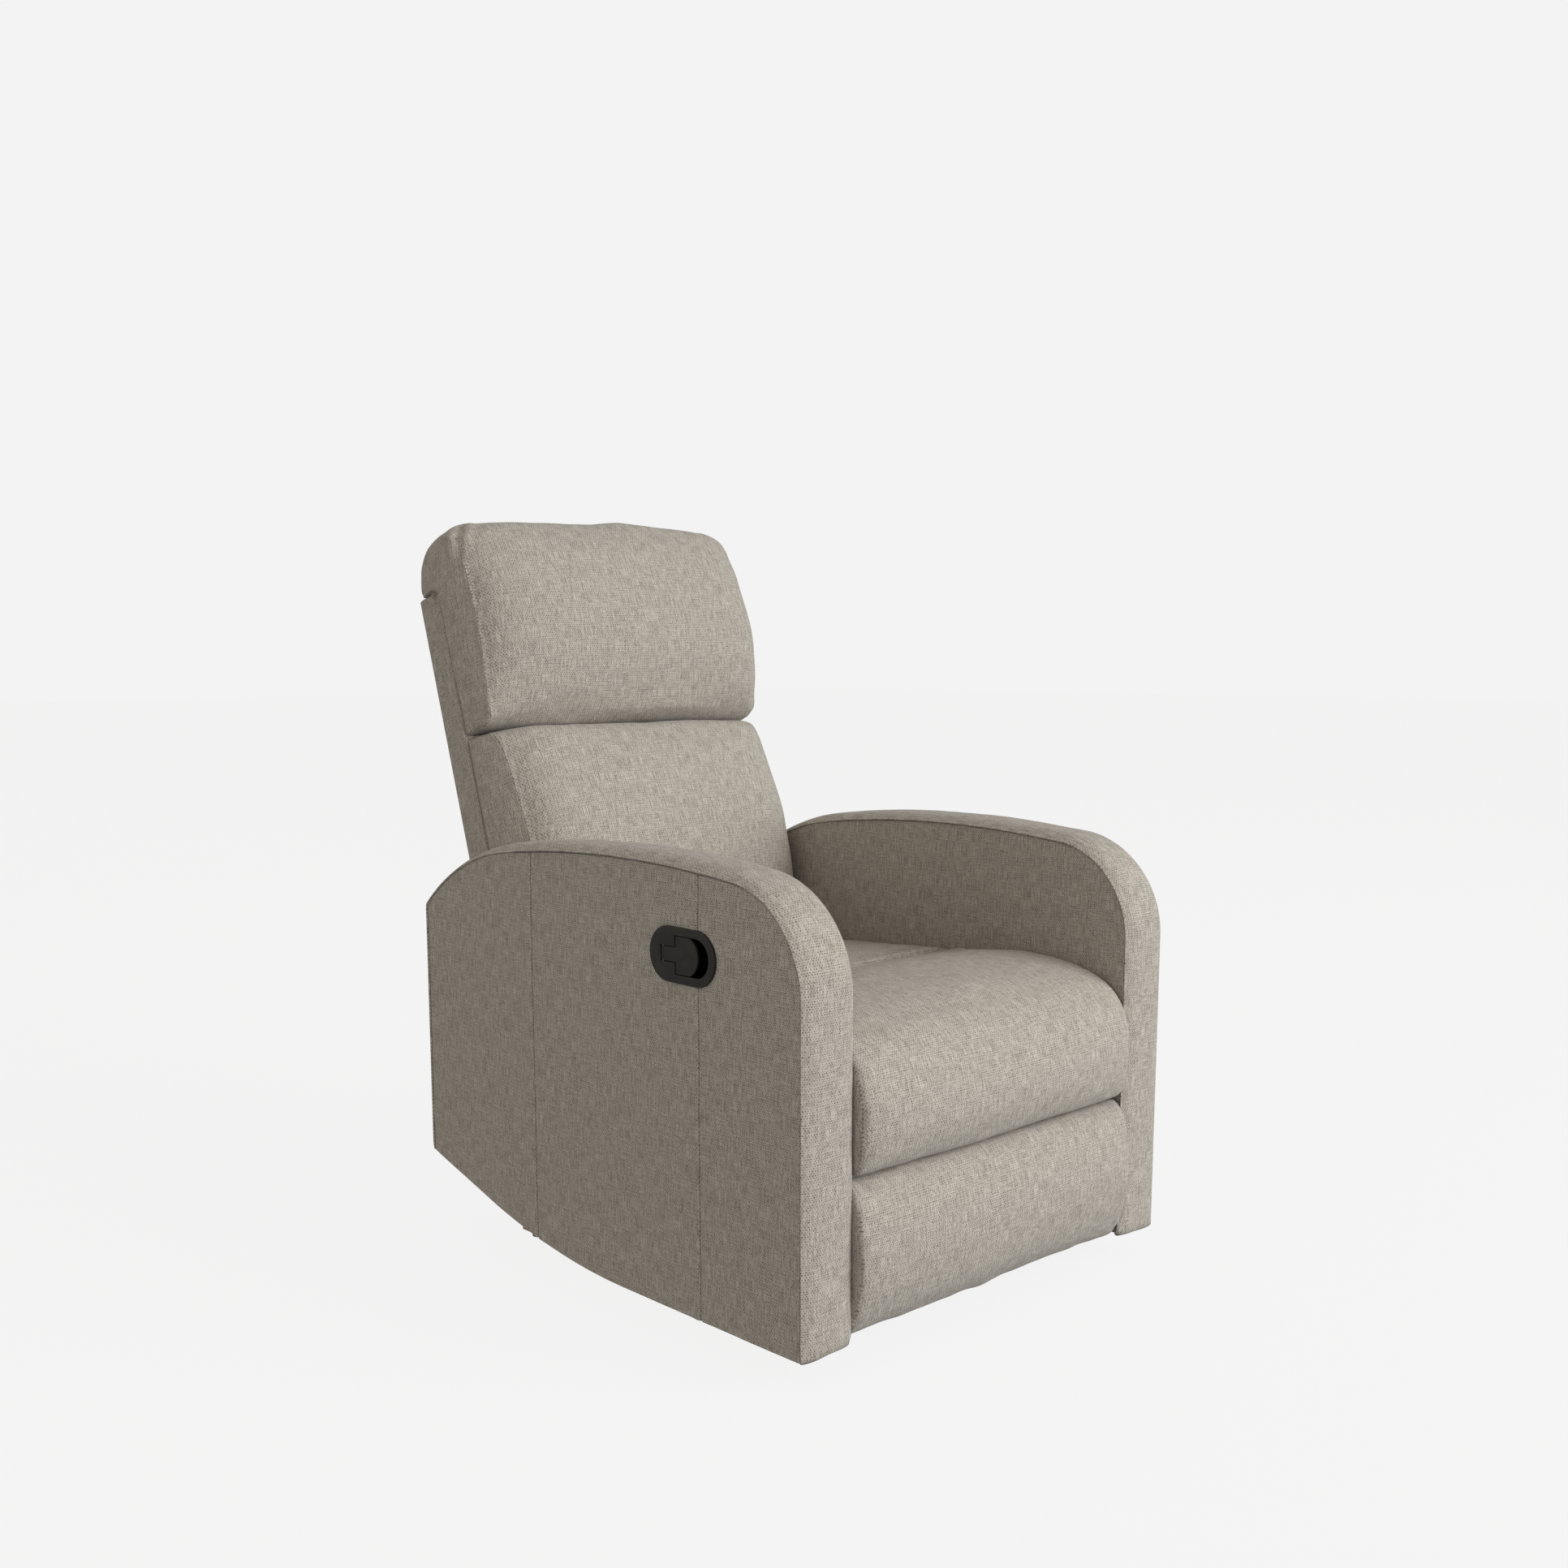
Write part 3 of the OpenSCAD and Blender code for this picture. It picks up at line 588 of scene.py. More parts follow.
def stand_for(obj, node, material):
    """Gives a piece its material and hides the CAD node that it stands for."""
    obj.data.materials.clear()
    obj.data.materials.append(material)
    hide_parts(node)


def upholster(obj, body, node):
    """Makes a piece of the chair's cloth: gives it the cloth, hides the CAD node that it stands for and
    attaches it to its body.
    """
    stand_for(obj, node, FABRIC)
    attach(obj, body)
    return obj


# ---------------------------------------------------------------- arms

PANEL_SEAMS = (-0.2635, 0.080)
SEAM_INSET = 0.0005
BAND_PUFF = 0.0098
HEM_LIFT = 0.0022
INNER_LIFT = 0.0055
ARM_CLOTH = 0.0028
PANEL_ROWS = 96
# How far inwards and down the cloth goes at each step round a panel's bottom edge
HEM_STEPS = ((0.0010, 0.0010), (0.0040, 0.0018), (0.0220, 0.0018))


def panel_columns():
    """Y of the columns of an arm panel's grid, close together at its ends and at its seams."""
    low, high = ARM_FRONT + SEAM_INSET, ARM_REAR - SEAM_INSET
    ends = (1 - np.cos(np.linspace(0, math.pi / 2, 26))) * 0.10
    middle = np.arange(ARM_FRONT + 0.106, ARM_REAR - 0.104, 0.0065)
    near = [s + d for s in PANEL_SEAMS for d in (-0.004, -0.0025, -0.0012, 0, 0.0012, 0.0025, 0.004)]
    middle = [y for y in middle if min(abs(y - s) for s in PANEL_SEAMS) > 0.006]
    columns = np.unique(np.concatenate([ARM_FRONT + ends, middle, near, ARM_REAR - ends]))
    return np.unique(np.clip(columns, low, high))


def rear_fade(y):
    """How far the seam along an arm's edge sinks out of sight where it falls away to the rear."""
    return 0.0012 * ramp(y - 0.10, 0.05)


def panel_relief(side, flat, edge, seams):
    """How far an arm panel's cloth stands out at each (y, z), where edge is the distance to its edge."""
    place = np.column_stack([np.zeros(len(flat)), flat])
    out = 0.0012 * (1 - np.exp(-edge / 0.03)) - (0.0007 - 0.5 * rear_fade(flat[:, 0])) * bump(edge, 0.0016)
    out += 0.0005 * wobble(place, 9, side) + 0.00025 * wobble(place, 30, side + 5)
    for where in seams:
        d = flat[:, 0] - where
        pucker = 1 + 0.6 * wobble(place * [0, 0, 1], 70, 3 * where)
        out += pucker * (0.0013 * bump(d - 0.006, 0.005) + 0.0008 * bump(d + 0.007, 0.006))
        out -= 0.0020 * bump(d, 0.0022)
    return out


def side_panel(name, side, x_face, outward, seams, hole=None):
    """One side of an arm: cloth stretched over its board, in a grid of columns that follow the outline."""
    y = panel_columns()
    outline = arm_path(SEAM_INSET)
    # The top follows the outline between its two feet, and starts where its front begins to round
    top = np.interp(y, outline[1:-1, 0], outline[1:-1, 1])
    top[0] = outline[1, 1]
    top += 1.3 * rear_fade(y)
    low = arm_bottom_z(y) + HEM_LIFT + (0 if outward > 0 else INNER_LIFT)
    turn = np.cos(np.pi * np.linspace(0, 1, PANEL_ROWS))
    s = 0.5 - 0.5 * turn * (0.35 + 0.65 * np.abs(turn) ** 0.3)
    z = low[:, None] + (top - low)[:, None] * s[None, :]
    flat = np.column_stack([np.repeat(y, PANEL_ROWS), z.ravel()])
    edge = segment_distance(flat, outline)
    seam = edge + rear_fade(flat[:, 0])
    for where in seams:
        seam = np.minimum(seam, np.abs(flat[:, 0] - where))
    out = panel_relief(side, flat, edge, seams)
    points = np.column_stack([side * (x_face + outward * out), flat])
    uv = flat.copy()
    # The cloth wraps under the bottom edge
    first = np.arange(len(y)) * PANEL_ROWS
    flip = side * outward > 0
    faces = [grid_faces(len(y), PANEL_ROWS, flip)]
    ring = first
    for dx, dz in HEM_STEPS:
        hem = points[first] - [side * outward * dx, 0, dz]
        new = len(points) + np.arange(len(y))
        points = np.vstack([points, hem])
        uv = np.vstack([uv, uv[first] - [0, dx + dz]])
        seam = np.concatenate([seam, seam[first]])
        quad = np.column_stack([ring[:-1], new[:-1], new[1:], ring[1:]])
        faces.append(quad if flip else quad[:, ::-1])
        ring = new
    faces = np.vstack(faces)
    if hole is not None:
        centre = points[faces].mean(axis=1)
        faces = faces[hole(centre[:, 1], centre[:, 2])]
    obj = build_mesh(name, points, faces, uv, seam if outward > 0 else seam + 0.0007)
    drop_loose(obj)
    thicken(obj, ARM_CLOTH)
    return obj


def arm_band(name, side):
    """The stuffed band over an arm's front, top and rear, sewn along both edges."""
    path = resample(arm_path(0.0), 0.0065)
    tangent = np.gradient(path, axis=0)
    tangent /= np.linalg.norm(tangent, axis=1)[:, None]
    outward = np.column_stack([-tangent[:, 1], tangent[:, 0]])
    along = lengths(path)
    end = np.minimum(along, along[-1] - along)
    width = HALF_WIDTH - ARM_IN
    part = np.concatenate([[0, 0.004, 0.011, 0.022, 0.038, 0.060, 0.088], np.linspace(0.12, 0.5, 11)])
    part = np.concatenate([part, 1 - part[-2::-1]])
    profile = 1 - np.abs(2 * part - 1) ** 4
    profile[[0, -1]] = -0.05
    rows, columns = len(path), len(part)
    # Fullest along the top, flatter down the front and down the rear
    puff = BAND_PUFF * (0.62 + 0.38 * np.clip(outward[:, 1], 0, 1))
    puff *= 1 - 0.60 * ramp(along - along[-1] + 0.60, 0.25)
    puff -= 0.0045 * bump(end, 0.005)
    lift = puff[:, None] * profile[None, :]
    points = np.empty((rows, columns, 3))
    points[..., 0] = side * (HALF_WIDTH - part * width)
    points[..., 1] = path[:, :1] + outward[:, :1] * lift
    points[..., 2] = path[:, 1:] + outward[:, 1:] * lift
    points[0, :, 2] += HEM_LIFT + INNER_LIFT * part ** 1.5
    points[-1, :, 2] += HEM_LIFT
    flat = points.reshape(-1, 3)
    push = np.column_stack([np.zeros(rows), outward]).repeat(columns, axis=0)
    soft = np.tile(np.minimum(1, np.minimum(part, 1 - part) / 0.25), rows)
    uneven = 0.0012 * wobble(flat, 11, 4 + side) + 0.0005 * wobble(flat, 34, 9 + side)
    flat = flat + push * (uneven * soft)[:, None]
    across = lengths(np.column_stack([part * width, profile * BAND_PUFF]))
    uv = np.column_stack([np.tile(across, rows), np.repeat(along, columns)])
    seam = np.tile(np.minimum(across, across[-1] - across) + 0.0003, rows) + rear_fade(flat[:, 1])
    obj = build_mesh(name, flat, grid_faces(rows, columns, side < 0), uv, seam)
    thicken(obj, ARM_CLOTH)
    return obj


def handle_hole(y, z):
    """True where the arm's outer cloth is outside the handle's opening."""
    low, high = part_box("handle_cup")
    cy, cz = (low[1] + high[1]) / 2, (low[2] + high[2]) / 2
    radius = (high[2] - low[2]) / 2
    straight = (high[1] - low[1]) / 2 - radius
    d = np.hypot(np.maximum(np.abs(y - cy) - straight, 0), z - cz)
    return d > radius + 0.001


def make_arms():
    for side, word in ((1, "left"), (-1, "right")):
        hole = handle_hole if side < 0 else None
        outer = side_panel("arm_outer_cover_" + word, side, HALF_WIDTH - 0.0004, 1, PANEL_SEAMS, hole)
        upholster(outer, "seat_frame", "arm_outer_panel_" + word)
        inner = side_panel("arm_inner_cover_" + word, side, ARM_IN + 0.0008, -1, ())
        upholster(inner, "seat_frame", "arm_inner_panel_" + word)
        upholster(arm_band("arm_band_cover_" + word, side), "seat_frame", "arm_band_" + word)


# ---------------------------------------------------------------- cushions

CAP_RINGS = 10
COVER, RIGHT_END, LEFT_END = 0, 1, 2
VOXEL = 0.006
CLOTH_FRAMES = 20
CLOTH_SETTINGS = {
    "quality": 4,
    "mass": 0.3,
    "tension_stiffness": 8,
    "compression_stiffness": 8,
    "shear_stiffness": 3,
    "bending_stiffness": 0.6,
    "air_damping": 1.5,
    "use_pressure": True,
    "pin_stiffness": 1.0,
}
# How far the simulation may slide a point along its surface
SLIDE = 0.004
# A sewn edge is held still up to this distance, and free beyond the next
PINNED, FREE = 0.006, 0.012
# The room left between a cushion's ends and the arms
SIDE_GAP = 0.0016


def loft(sections, dome):
    """A closed grid from equal-length closed sections, each end drawn in to its middle and domed outwards.

    Returns its points, its faces and the chart of each face."""
    rows, columns = sections.shape[:2]
    points = [sections.reshape(-1, 3)]
    faces = [ring_faces(rows, columns)]
    charts = [np.full(len(faces[0]), COVER)]
    count = rows * columns
    fans = []
    for chart, row in ((RIGHT_END, 0), (LEFT_END, rows - 1)):
        flip = -1 if chart == RIGHT_END else 1
        ring = sections[row]
        middle = ring.mean(axis=0)
        outwards = np.sign(middle[0]) * dome
        before = row * columns + np.arange(columns)
        for step in range(1, CAP_RINGS):
            left = 1 - step / CAP_RINGS
            new = middle + (ring - middle) * left
            new[:, 0] += outwards * (1 - left ** 3)
            points.append(new)
            here = count + np.arange(columns)
            count += columns
            faces.append(np.column_stack([before, np.roll(before, -1), np.roll(here, -1), here])[:, ::flip])
            charts.append(np.full(columns, chart))
            before = here
        points.append(middle[None, :] + [[outwards, 0, 0]])
        fans += [((a, b, count)[::flip], chart) for a, b in zip(before, np.roll(before, -1))]
        count += 1
    all_faces = [tuple(f) for block in faces for f in block] + [fan for fan, _ in fans]
    all_charts = np.concatenate(charts + [[chart for _, chart in fans]])
    return np.vstack(points), all_faces, all_charts


def cushion_sections(edge, middle, half, crowns):
    """Sections across a cushion from -half to half, from its edge outline to its full one.

    crowns gives, for the near and for the far side, the power and root of how it fills out."""
    x = half - np.array([0, 0.0008, 0.003, 0.007, 0.013, 0.021, 0.031, 0.044])
    inner = x[-1]
    count = 2 * int(round(inner / 0.013)) + 1
    x = np.concatenate([-x, np.linspace(-inner, inner, count)[1:-1], x[::-1]])
    out = []
    for value in x:
        power, root = crowns[0 if value < 0 else 1]
        full = (1 - (abs(value) / half) ** power) ** (1 / root)
        section = edge + (middle - edge) * full
        out.append(np.column_stack([np.full(len(section), value), section]))
    return np.array(out)


class Charts:
    """Weave coordinates carried from a cushion's plain cage to its finished mesh."""

    def __init__(self, sections, around, gusset, dome, squarely):
        """around is the distance round the full outline to each of its points and back to the first.

        gusset gives the weave's coordinates on an end, and squarely how much a face has to look sideways
        before it can belong to one."""
        self.points, self.faces, self.charts = loft(sections, dome)
        self.wrap = around[-1]
        self.squarely = squarely
        self.whole = BVHTree.FromPolygons([tuple(p) for p in self.points], self.faces)
        self.trees = {}
        self.uv = {}
        columns = sections.shape[1]
        for chart in (COVER, RIGHT_END, LEFT_END):
            faces = [f for f, c in zip(self.faces, self.charts) if c == chart]
            if chart == COVER:
                uv = [self.cover_uv(f, around[:-1], columns) for f in faces]
            else:
                uv = [[gusset(self.points[i]) for i in f] for f in faces]
            self.trees[chart] = BVHTree.FromPolygons([tuple(p) for p in self.points], faces)
            self.uv[chart] = (faces, uv)

    def cover_uv(self, face, around, columns):
        """A cover face's coordinates: across the cushion, and round its outline."""
        places = [i % columns for i in face]
        wraps = columns - 1 in places and 0 in places
        after_last = around[-1] + (around[-1] - around[-2])
        return [(self.points[i][0], after_last if wraps and k == 0 else around[k])
                for i, k in zip(face, places)]

    def chart_of(self, point):
        return self.charts[self.whole.find_nearest(point)[2]]

    def sides(self, points):
        """1 for a point on the cover and -1 for one on an end."""
        return np.array([1.0 if self.chart_of(p) == COVER else -1.0 for p in points])

    def apply(self, obj):
        """Gives each corner of a mesh its weave coordinates."""
        mesh = obj.data
        points = positions(obj)
        corners = read(mesh.loops, "vertex_index", kind=np.int32)
        centres = read(mesh.polygons, "center", 3)
        sideways = np.abs(read(mesh.polygons, "normal", 3)[:, 0])
        starts = read(mesh.polygons, "loop_start", kind=np.int32)
        totals = read(mesh.polygons, "loop_total", kind=np.int32)
        cache = {}
        uv = np.zeros((len(corners), 2))
        for centre, turned, start, total in zip(centres, sideways, starts, totals):
            chart = int(self.chart_of(centre)) if turned > self.squarely else COVER
            for c in range(start, start + total):
                key = (chart, corners[c])
                if key not in cache:
                    cache[key] = self.lookup(points[corners[c]], chart)
                uv[c] = cache[key]
            if chart == COVER:
                # Across the wrap, a face's corners stay together
                part = uv[start:start + total, 1]
                if part.max() - part.min() > 0.3:
                    part[part < part.max() - 0.3] += self.wrap
        put_uv(mesh, uv)

    def lookup(self, point, chart):
        """The weave coordinates of the place on a chart that is nearest to a point."""
        faces, corner_uv = self.uv[chart]
        place, _, index, _ = self.trees[chart].find_nearest(point)
        face, uv = faces[index], corner_uv[index]
        p = [Vector(self.points[i]) for i in face]
        # A quad is taken as two triangles, and the place is in the one that it is least far outside
        triangles = ((0, 1, 2), (0, 2, 3)) if len(p) == 4 else ((0, 1, 2),)
        options = [(barycentric(place, *(p[k] for k in triangle)), triangle) for triangle in triangles]
        weights, triangle = max(options, key=lambda option: min(option[0]))
        return tuple(sum(w * uv[k][axis] for w, k in zip(weights, triangle)) for axis in (0, 1))


def barycentric(p, a, b, c):
    """A point's weights towards the three corners of a triangle."""
    v0, v1, v2 = b - a, c - a, p - a
    d00, d01, d11, d20, d21 = v0.dot(v0), v0.dot(v1), v1.dot(v1), v2.dot(v0), v2.dot(v1)
    denom = d00 * d11 - d01 * d01
    if abs(denom) < 1e-16:
        return (1.0, 0.0, 0.0)
    v = (d11 * d20 - d01 * d21) / denom
    w = (d00 * d21 - d01 * d20) / denom
    return (1 - v - w, v, w)


def soft_body(name, charts, pressure, cap, held):
    """cap is how far a point may rise, and held(points) how firmly each is held."""
    obj = add_object(name, new_mesh(name, charts.points, charts.faces))
    fix_normals(obj)
    remesh = obj.modifiers.new("even", "REMESH")
    remesh.mode = "VOXEL"
    remesh.voxel_size = VOXEL
    bake_modifiers(obj)
    smooth_mesh(obj, 2)
    start, out = positions(obj), normals(obj)
    swell(obj, pressure, held(start))
    moved = positions(obj) - start
    rise = (moved * out).sum(axis=1)
    slide = moved - out * rise[:, None]
    rise = np.where(rise > 0, cap * np.tanh(rise / cap), 0.15 * rise)
    length = np.maximum(np.linalg.norm(slide, axis=1), 1e-9)
    slide *= (SLIDE * np.tanh(length / SLIDE) / length)[:, None]
    set_positions(obj, start + out * rise[:, None] + slide)
    smooth_mesh(obj, 1)
    return obj


def swell(obj, pressure, held):
    """Runs the cloth simulation and applies its last frame."""
    group = obj.vertex_groups.new(name="held")
    for i in np.nonzero(held > 0.01)[0]:
        group.add([int(i)], float(held[i]), "REPLACE")
    cloth = obj.modifiers.new("cloth", "CLOTH")
    for key, value in CLOTH_SETTINGS.items():
        setattr(cloth.settings, key, value)
    cloth.settings.uniform_pressure_force = pressure
    cloth.settings.effector_weights.gravity = 0
    cloth.settings.vertex_group_mass = "held"
    cloth.collision_settings.use_collision = False
    cloth.point_cache.frame_start = 1
    cloth.point_cache.frame_end = CLOTH_FRAMES
    for f in range(1, CLOTH_FRAMES + 1):
        bpy.context.scene.frame_set(f)
        bpy.context.view_layer.update()
    bake_modifiers(obj)
    bpy.context.scene.frame_set(1)
    obj.vertex_groups.clear()


def subdivide(obj):
    modifier = obj.modifiers.new("finer", "SUBSURF")
    modifier.levels = 1
    modifier.render_levels = 1
    bake_modifiers(obj)


def to_back(points):
    """From the back's own (x, n, t), n in front of the rear face and t up the lean, to the row frame."""
    p = np.asarray(points, dtype=float)
    c, s = math.cos(BACK_LEAN), math.sin(BACK_LEAN)
    y = BACK_ORIGIN[0] + p[..., 2] * s - p[..., 1] * c
    z = BACK_ORIGIN[1] + p[..., 2] * c + p[..., 1] * s
    return np.stack([p[..., 0], y, z], axis=-1)


def from_back(points):
    """The reverse of to_back."""
    p = np.asarray(points, dtype=float)
    c, s = math.cos(BACK_LEAN), math.sin(BACK_LEAN)
    dy, dz = p[..., 1] - BACK_ORIGIN[0], p[..., 2] - BACK_ORIGIN[1]
    return np.stack([p[..., 0], -dy * c + dz * s, dy * s + dz * c], axis=-1)


def even_pair(edge, middle, count):
    """Two outlines with the same number of points, both spaced evenly."""
    return spline(edge, True, count), spline(middle, True, count)


def cushion(name, body, node, outlines, half, crowns, fill, pressure, cap, rests, dress, seams=(),
            frame_map=lambda p: p, gusset=lambda p: (p[1], p[2]), squarely=0.93, dome=0.0, crest=0.0):
    """A padded piece from its outlines at the edge and in the middle.

    crowns says how its two sides fill out, pressure and cap how far it swells, rests which points lie on
    something, and dress shapes the swollen mesh. seams gives the polylines where it is sewn, each with the
    side of it that a point is on. frame_map turns (x, a, b) into the row frame. gusset and squarely are the
    charts' own. dome is how far its ends stand out, and crest how high the edge round each stands up."""
    edge, middle = outlines
    around = lengths(np.vstack([middle, middle[:1]]))
    sections = frame_map(cushion_sections(edge, middle, half, crowns))
    charts = Charts(sections, around, gusset, dome, squarely)
    loop = np.vstack([edge, edge[:1]])
    ends = [frame_map(np.column_stack([np.full(len(loop), side * half), loop])) for side in (-1, 1)]

    def held(points):
        weight = rests(points).astype(float)
        for path in [path for path, _ in seams] + ends:
            weight = np.maximum(weight, ramp(FREE - segment_distance(points, path), FREE - PINNED))
        return weight

    obj = soft_body(name, charts, pressure, cap, held)
    subdivide(obj)
    for path in ends:
        ridge(obj, path, crest, 0.0045)
    dress(obj)
    charts.apply(obj)
    # The distance to a seam changes sign across it, so that the line is sharp between the mesh's points
    points = positions(obj)
    seam = np.full(len(points), 1.0)
    for path, side_of in seams:
        d = segment_distance(points, path)
        side = charts.sides(points) if side_of is None else side_of(points)
        seam = np.where(d < np.abs(seam), d * side, seam)
    put_seam(obj.data, seam)
    return upholster(obj, body, node)


def push_out(obj, height):
    """Moves an object's points along their normals by what height gives for each."""
    p = positions(obj)
    set_positions(obj, p + normals(obj) * height(p)[:, None])


def ripple(obj, broad, fine, seed):
    """Uneven stuffing: slow swells and small dents in the cover."""
    push_out(obj, lambda p: broad * wobble(p, 8, seed) + fine * wobble(p, 24, seed + 3))


def fold(obj, path, depth, width, puff=0.4):
    """Sinks a crease along a polyline, with the cloth standing a little proud beside it."""
    def height(p):
        d = segment_distance(p, path)
        return puff * depth * bump(d - 2.2 * width, 1.3 * width) - depth * bump(d, width)
    push_out(obj, height)


def ridge(obj, path, height, width):
    """Raises a sewn edge along a polyline."""
    push_out(obj, lambda p: height * bump(segment_distance(p, path), width))


def between_arms(x, gap):
    """Keeps X clear of the arms by a gap."""
    return np.clip(x, gap - ARM_IN, ARM_IN - gap)


def make_seat():
    """The seat: a flat rear part and a puffed front roll, sewn together across the top."""
    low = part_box("seat_deck")[1][2] + 0.001
    rear = [(0.146, low + 0.004), (0.148, 0.345)]
    base = [(-0.430, 0.2385), (-0.410, 0.240), (-0.4005, 0.256), (-0.4005, 0.295), (-0.396, low),
            (-0.300, low), (-0.100, low), (0.050, low)]
    edge = rear + [(0.140, 0.385), (0.102, 0.393), (0.000, 0.402), (-0.105, 0.411), (-0.130, 0.406),
                   (-0.158, 0.415), (-0.247, 0.424), (-0.304, 0.426), (-0.358, 0.421), (-0.405, 0.407),
                   (-0.434, 0.383), (-0.451, 0.350), (-0.454, 0.312), (-0.452, 0.277), (-0.445, 0.251)] + base
    middle = rear + [(0.138, 0.392), (0.102, 0.402), (0.000, 0.409), (-0.105, 0.414), (-0.130, 0.406),
                     (-0.158, 0.418), (-0.247, 0.429), (-0.304, 0.430), (-0.358, 0.425), (-0.410, 0.410),
                     (-0.442, 0.387), (-0.462, 0.352), (-0.468, 0.312), (-0.465, 0.277),
                     (-0.455, 0.251)] + base
    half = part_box("seat_cushion")[1][0] + 0.0005
    crease = spline([(-half, -0.137, 0.407), (-0.15, -0.137, 0.407), (0.05, -0.134, 0.407),
                     (0.16, -0.129, 0.406), (0.235, -0.129, 0.404), (half, -0.150, 0.402)], False, 120)

    def behind(p):
        return p[:, 1] - np.interp(p[:, 0], crease[:, 0], crease[:, 1])

    def dress(obj):
        fold(obj, crease, 0.005, 0.006, 0.7)
        p = positions(obj)
        # The rear part's sewn edge stands up along the crease
        d = behind(p)
        top = ramp(p[:, 2] - 0.37, 0.02)
        p[:, 2] += top * (0.0035 * bump(d - 0.009, 0.006) - 0.0020 * bump(d - 0.026, 0.012))
        # Short gathers run forward from the crease
        gather = np.clip(along_x(p, 46, 7.0), 0, 1) * np.exp(-np.abs(d + 0.020) / 0.022) * (d < 0)
        p[:, 2] -= top * 0.0035 * gather
        set_positions(obj, p)
        ripple(obj, 0.0022, 0.0009, 12.0)
        p = positions(obj)
        # Flat on the deck, and clear of the footrest in front of it
        p[:, 2] = np.maximum(p[:, 2], np.where(p[:, 1] > -0.392, low, 0.2372))
        p[:, 0] = between_arms(p[:, 0], SIDE_GAP)
        set_positions(obj, p)

    cushion("seat_cover", "seat_frame", "seat_cushion", even_pair(edge, middle, 170), half,
            ((14.0, 3.0), (6.0, 2.2)), fill=0.75, pressure=4.0, cap=0.009,
            rests=lambda p: (p[:, 2] < low + 0.004) & (p[:, 1] > -0.405), dress=dress,
            seams=[(crease, lambda p: np.where(behind(p) > 0, 1.0, -1.0))])


def make_footrest():
    """The footrest pad, wrapped round its board and puffed in front."""
    low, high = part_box("footrest_pad")
    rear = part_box("footrest_board")[1][1] - 0.0004
    z0, z1 = low[2] - 0.006, high[2] + 0.0030
    board = [(rear, z0 + 0.010), (rear, 0.140), (rear, z1 - 0.006), (rear - 0.008, z1)]
    edge = board + [(-0.433, z1 - 0.001), (-0.447, 0.220), (-0.455, 0.195), (-0.459, 0.158),
                    (-0.458, 0.118), (-0.450, 0.078), (-0.437, 0.048), (-0.420, z0)]
    middle = board + [(-0.434, z1 - 0.001), (-0.451, 0.220), (-0.461, 0.196), (-0.466, 0.158),
                      (-0.465, 0.118), (-0.456, 0.078), (-0.440, 0.048), (-0.420, z0)]

    def dress(obj):
        ripple(obj, 0.0018, 0.0010, 31.0)
        p = positions(obj)
        p[:, 1] = np.minimum(p[:, 1], rear)
        p[:, 2] = np.minimum(p[:, 2], 0.2362)
        # Full to its ends and its upper corners
        reach = ramp(np.abs(p[:, 0]) - 0.250, 0.014)
        p[:, 0] += np.sign(p[:, 0]) * 0.0030 * reach
        p[:, 2] = np.minimum(p[:, 2] + 0.004 * reach * ramp(p[:, 2] - 0.200, 0.025), 0.2368)
        p[:, 0] = between_arms(p[:, 0], 0.0014)
        # Tucked up unevenly along the bottom
        near = np.clip(1 - (p[:, 2] - z0) / 0.03, 0, 1)
        p[:, 2] += near * (0.0022 * (1 + along_x(p, 22, 5.0)) - 0.005 * ramp(p[:, 0] - 0.18, 0.08))
        set_positions(obj, p)

    cushion("footrest_cover", "footrest", "footrest_pad", even_pair(edge, middle, 90), high[0] + 0.0045,
            ((14.0, 3.0), (12.0, 3.0)), fill=0.7, pressure=3.5, cap=0.007,
            rests=lambda p: p[:, 1] > rear - 0.004, dress=dress)


# The back cushions' rear is inside the back's cover, and their gussets are drawn in where they meet its front
SUNK_REAR = 0.0420
REST_BELOW = 0.054
JOIN_AT = 0.0512
JOIN_DEPTH = 0.0030


def tapered(points, half, amount):
    """Narrows a back cushion towards its front, by one amount at its right and the other at its left."""
    out = np.array(points, dtype=float)
    front = ramp(out[..., 1] - 0.060, 0.070)
    by = np.where(out[..., 0] < 0, -amount[0], amount[1])
    out[..., 0] -= by * front * (np.abs(out[..., 0]) / half) ** 4
    return out


def drawn_in(b, half):
    """A back cushion's points with its gussets sunk where they meet the back."""
    wide = np.abs(b[:, 0])
    near = bump(b[:, 1] - JOIN_AT, 0.0055) * ramp(wide - half + 0.02, 0.01)
    wide = wide + (half - JOIN_DEPTH - wide) * near
    return np.column_stack([np.sign(b[:, 0]) * wide, b[:, 1:]])


def back_cushion(name, node, outlines, half, crowns, taper, join, rests, dress, **options):
    """A cushion on the back, boxed by a gusset at each side, that meets the back over the heights in join."""
    edge = outlines[0]
    start = np.argmin(np.linalg.norm(edge - edge[edge[:, 0] < 0.0525].mean(axis=0), axis=1))
    loop = np.roll(edge, -start, axis=0)
    front = loop[loop[:, 0] > 0.060]
    count = 40
    seams = []
    for side in (-1, 1):
        line = np.column_stack([np.full(len(front), side * half), front])
        seams.append((to_back(tapered(line, half, taper)), None))
    for side in (-1, 1):
        line = np.column_stack([np.full(count, side * (half - JOIN_DEPTH)), np.full(count, JOIN_AT),
                                np.linspace(*join, count)])
        seams.append((to_back(line), lambda p: np.where(from_back(p)[:, 1] > JOIN_AT, 1.0, -1.0)))

    def shape(obj):
        set_positions(obj, to_back(dress(obj)))

    cushion(name, "back", node, outlines, half, crowns, pressure=4.0, seams=seams, squarely=0.0,
            rests=lambda p: rests(from_back(p)), dress=shape, gusset=lambda p: from_back(p)[1:],
            frame_map=lambda p: to_back(tapered(p, half, taper)), **options)


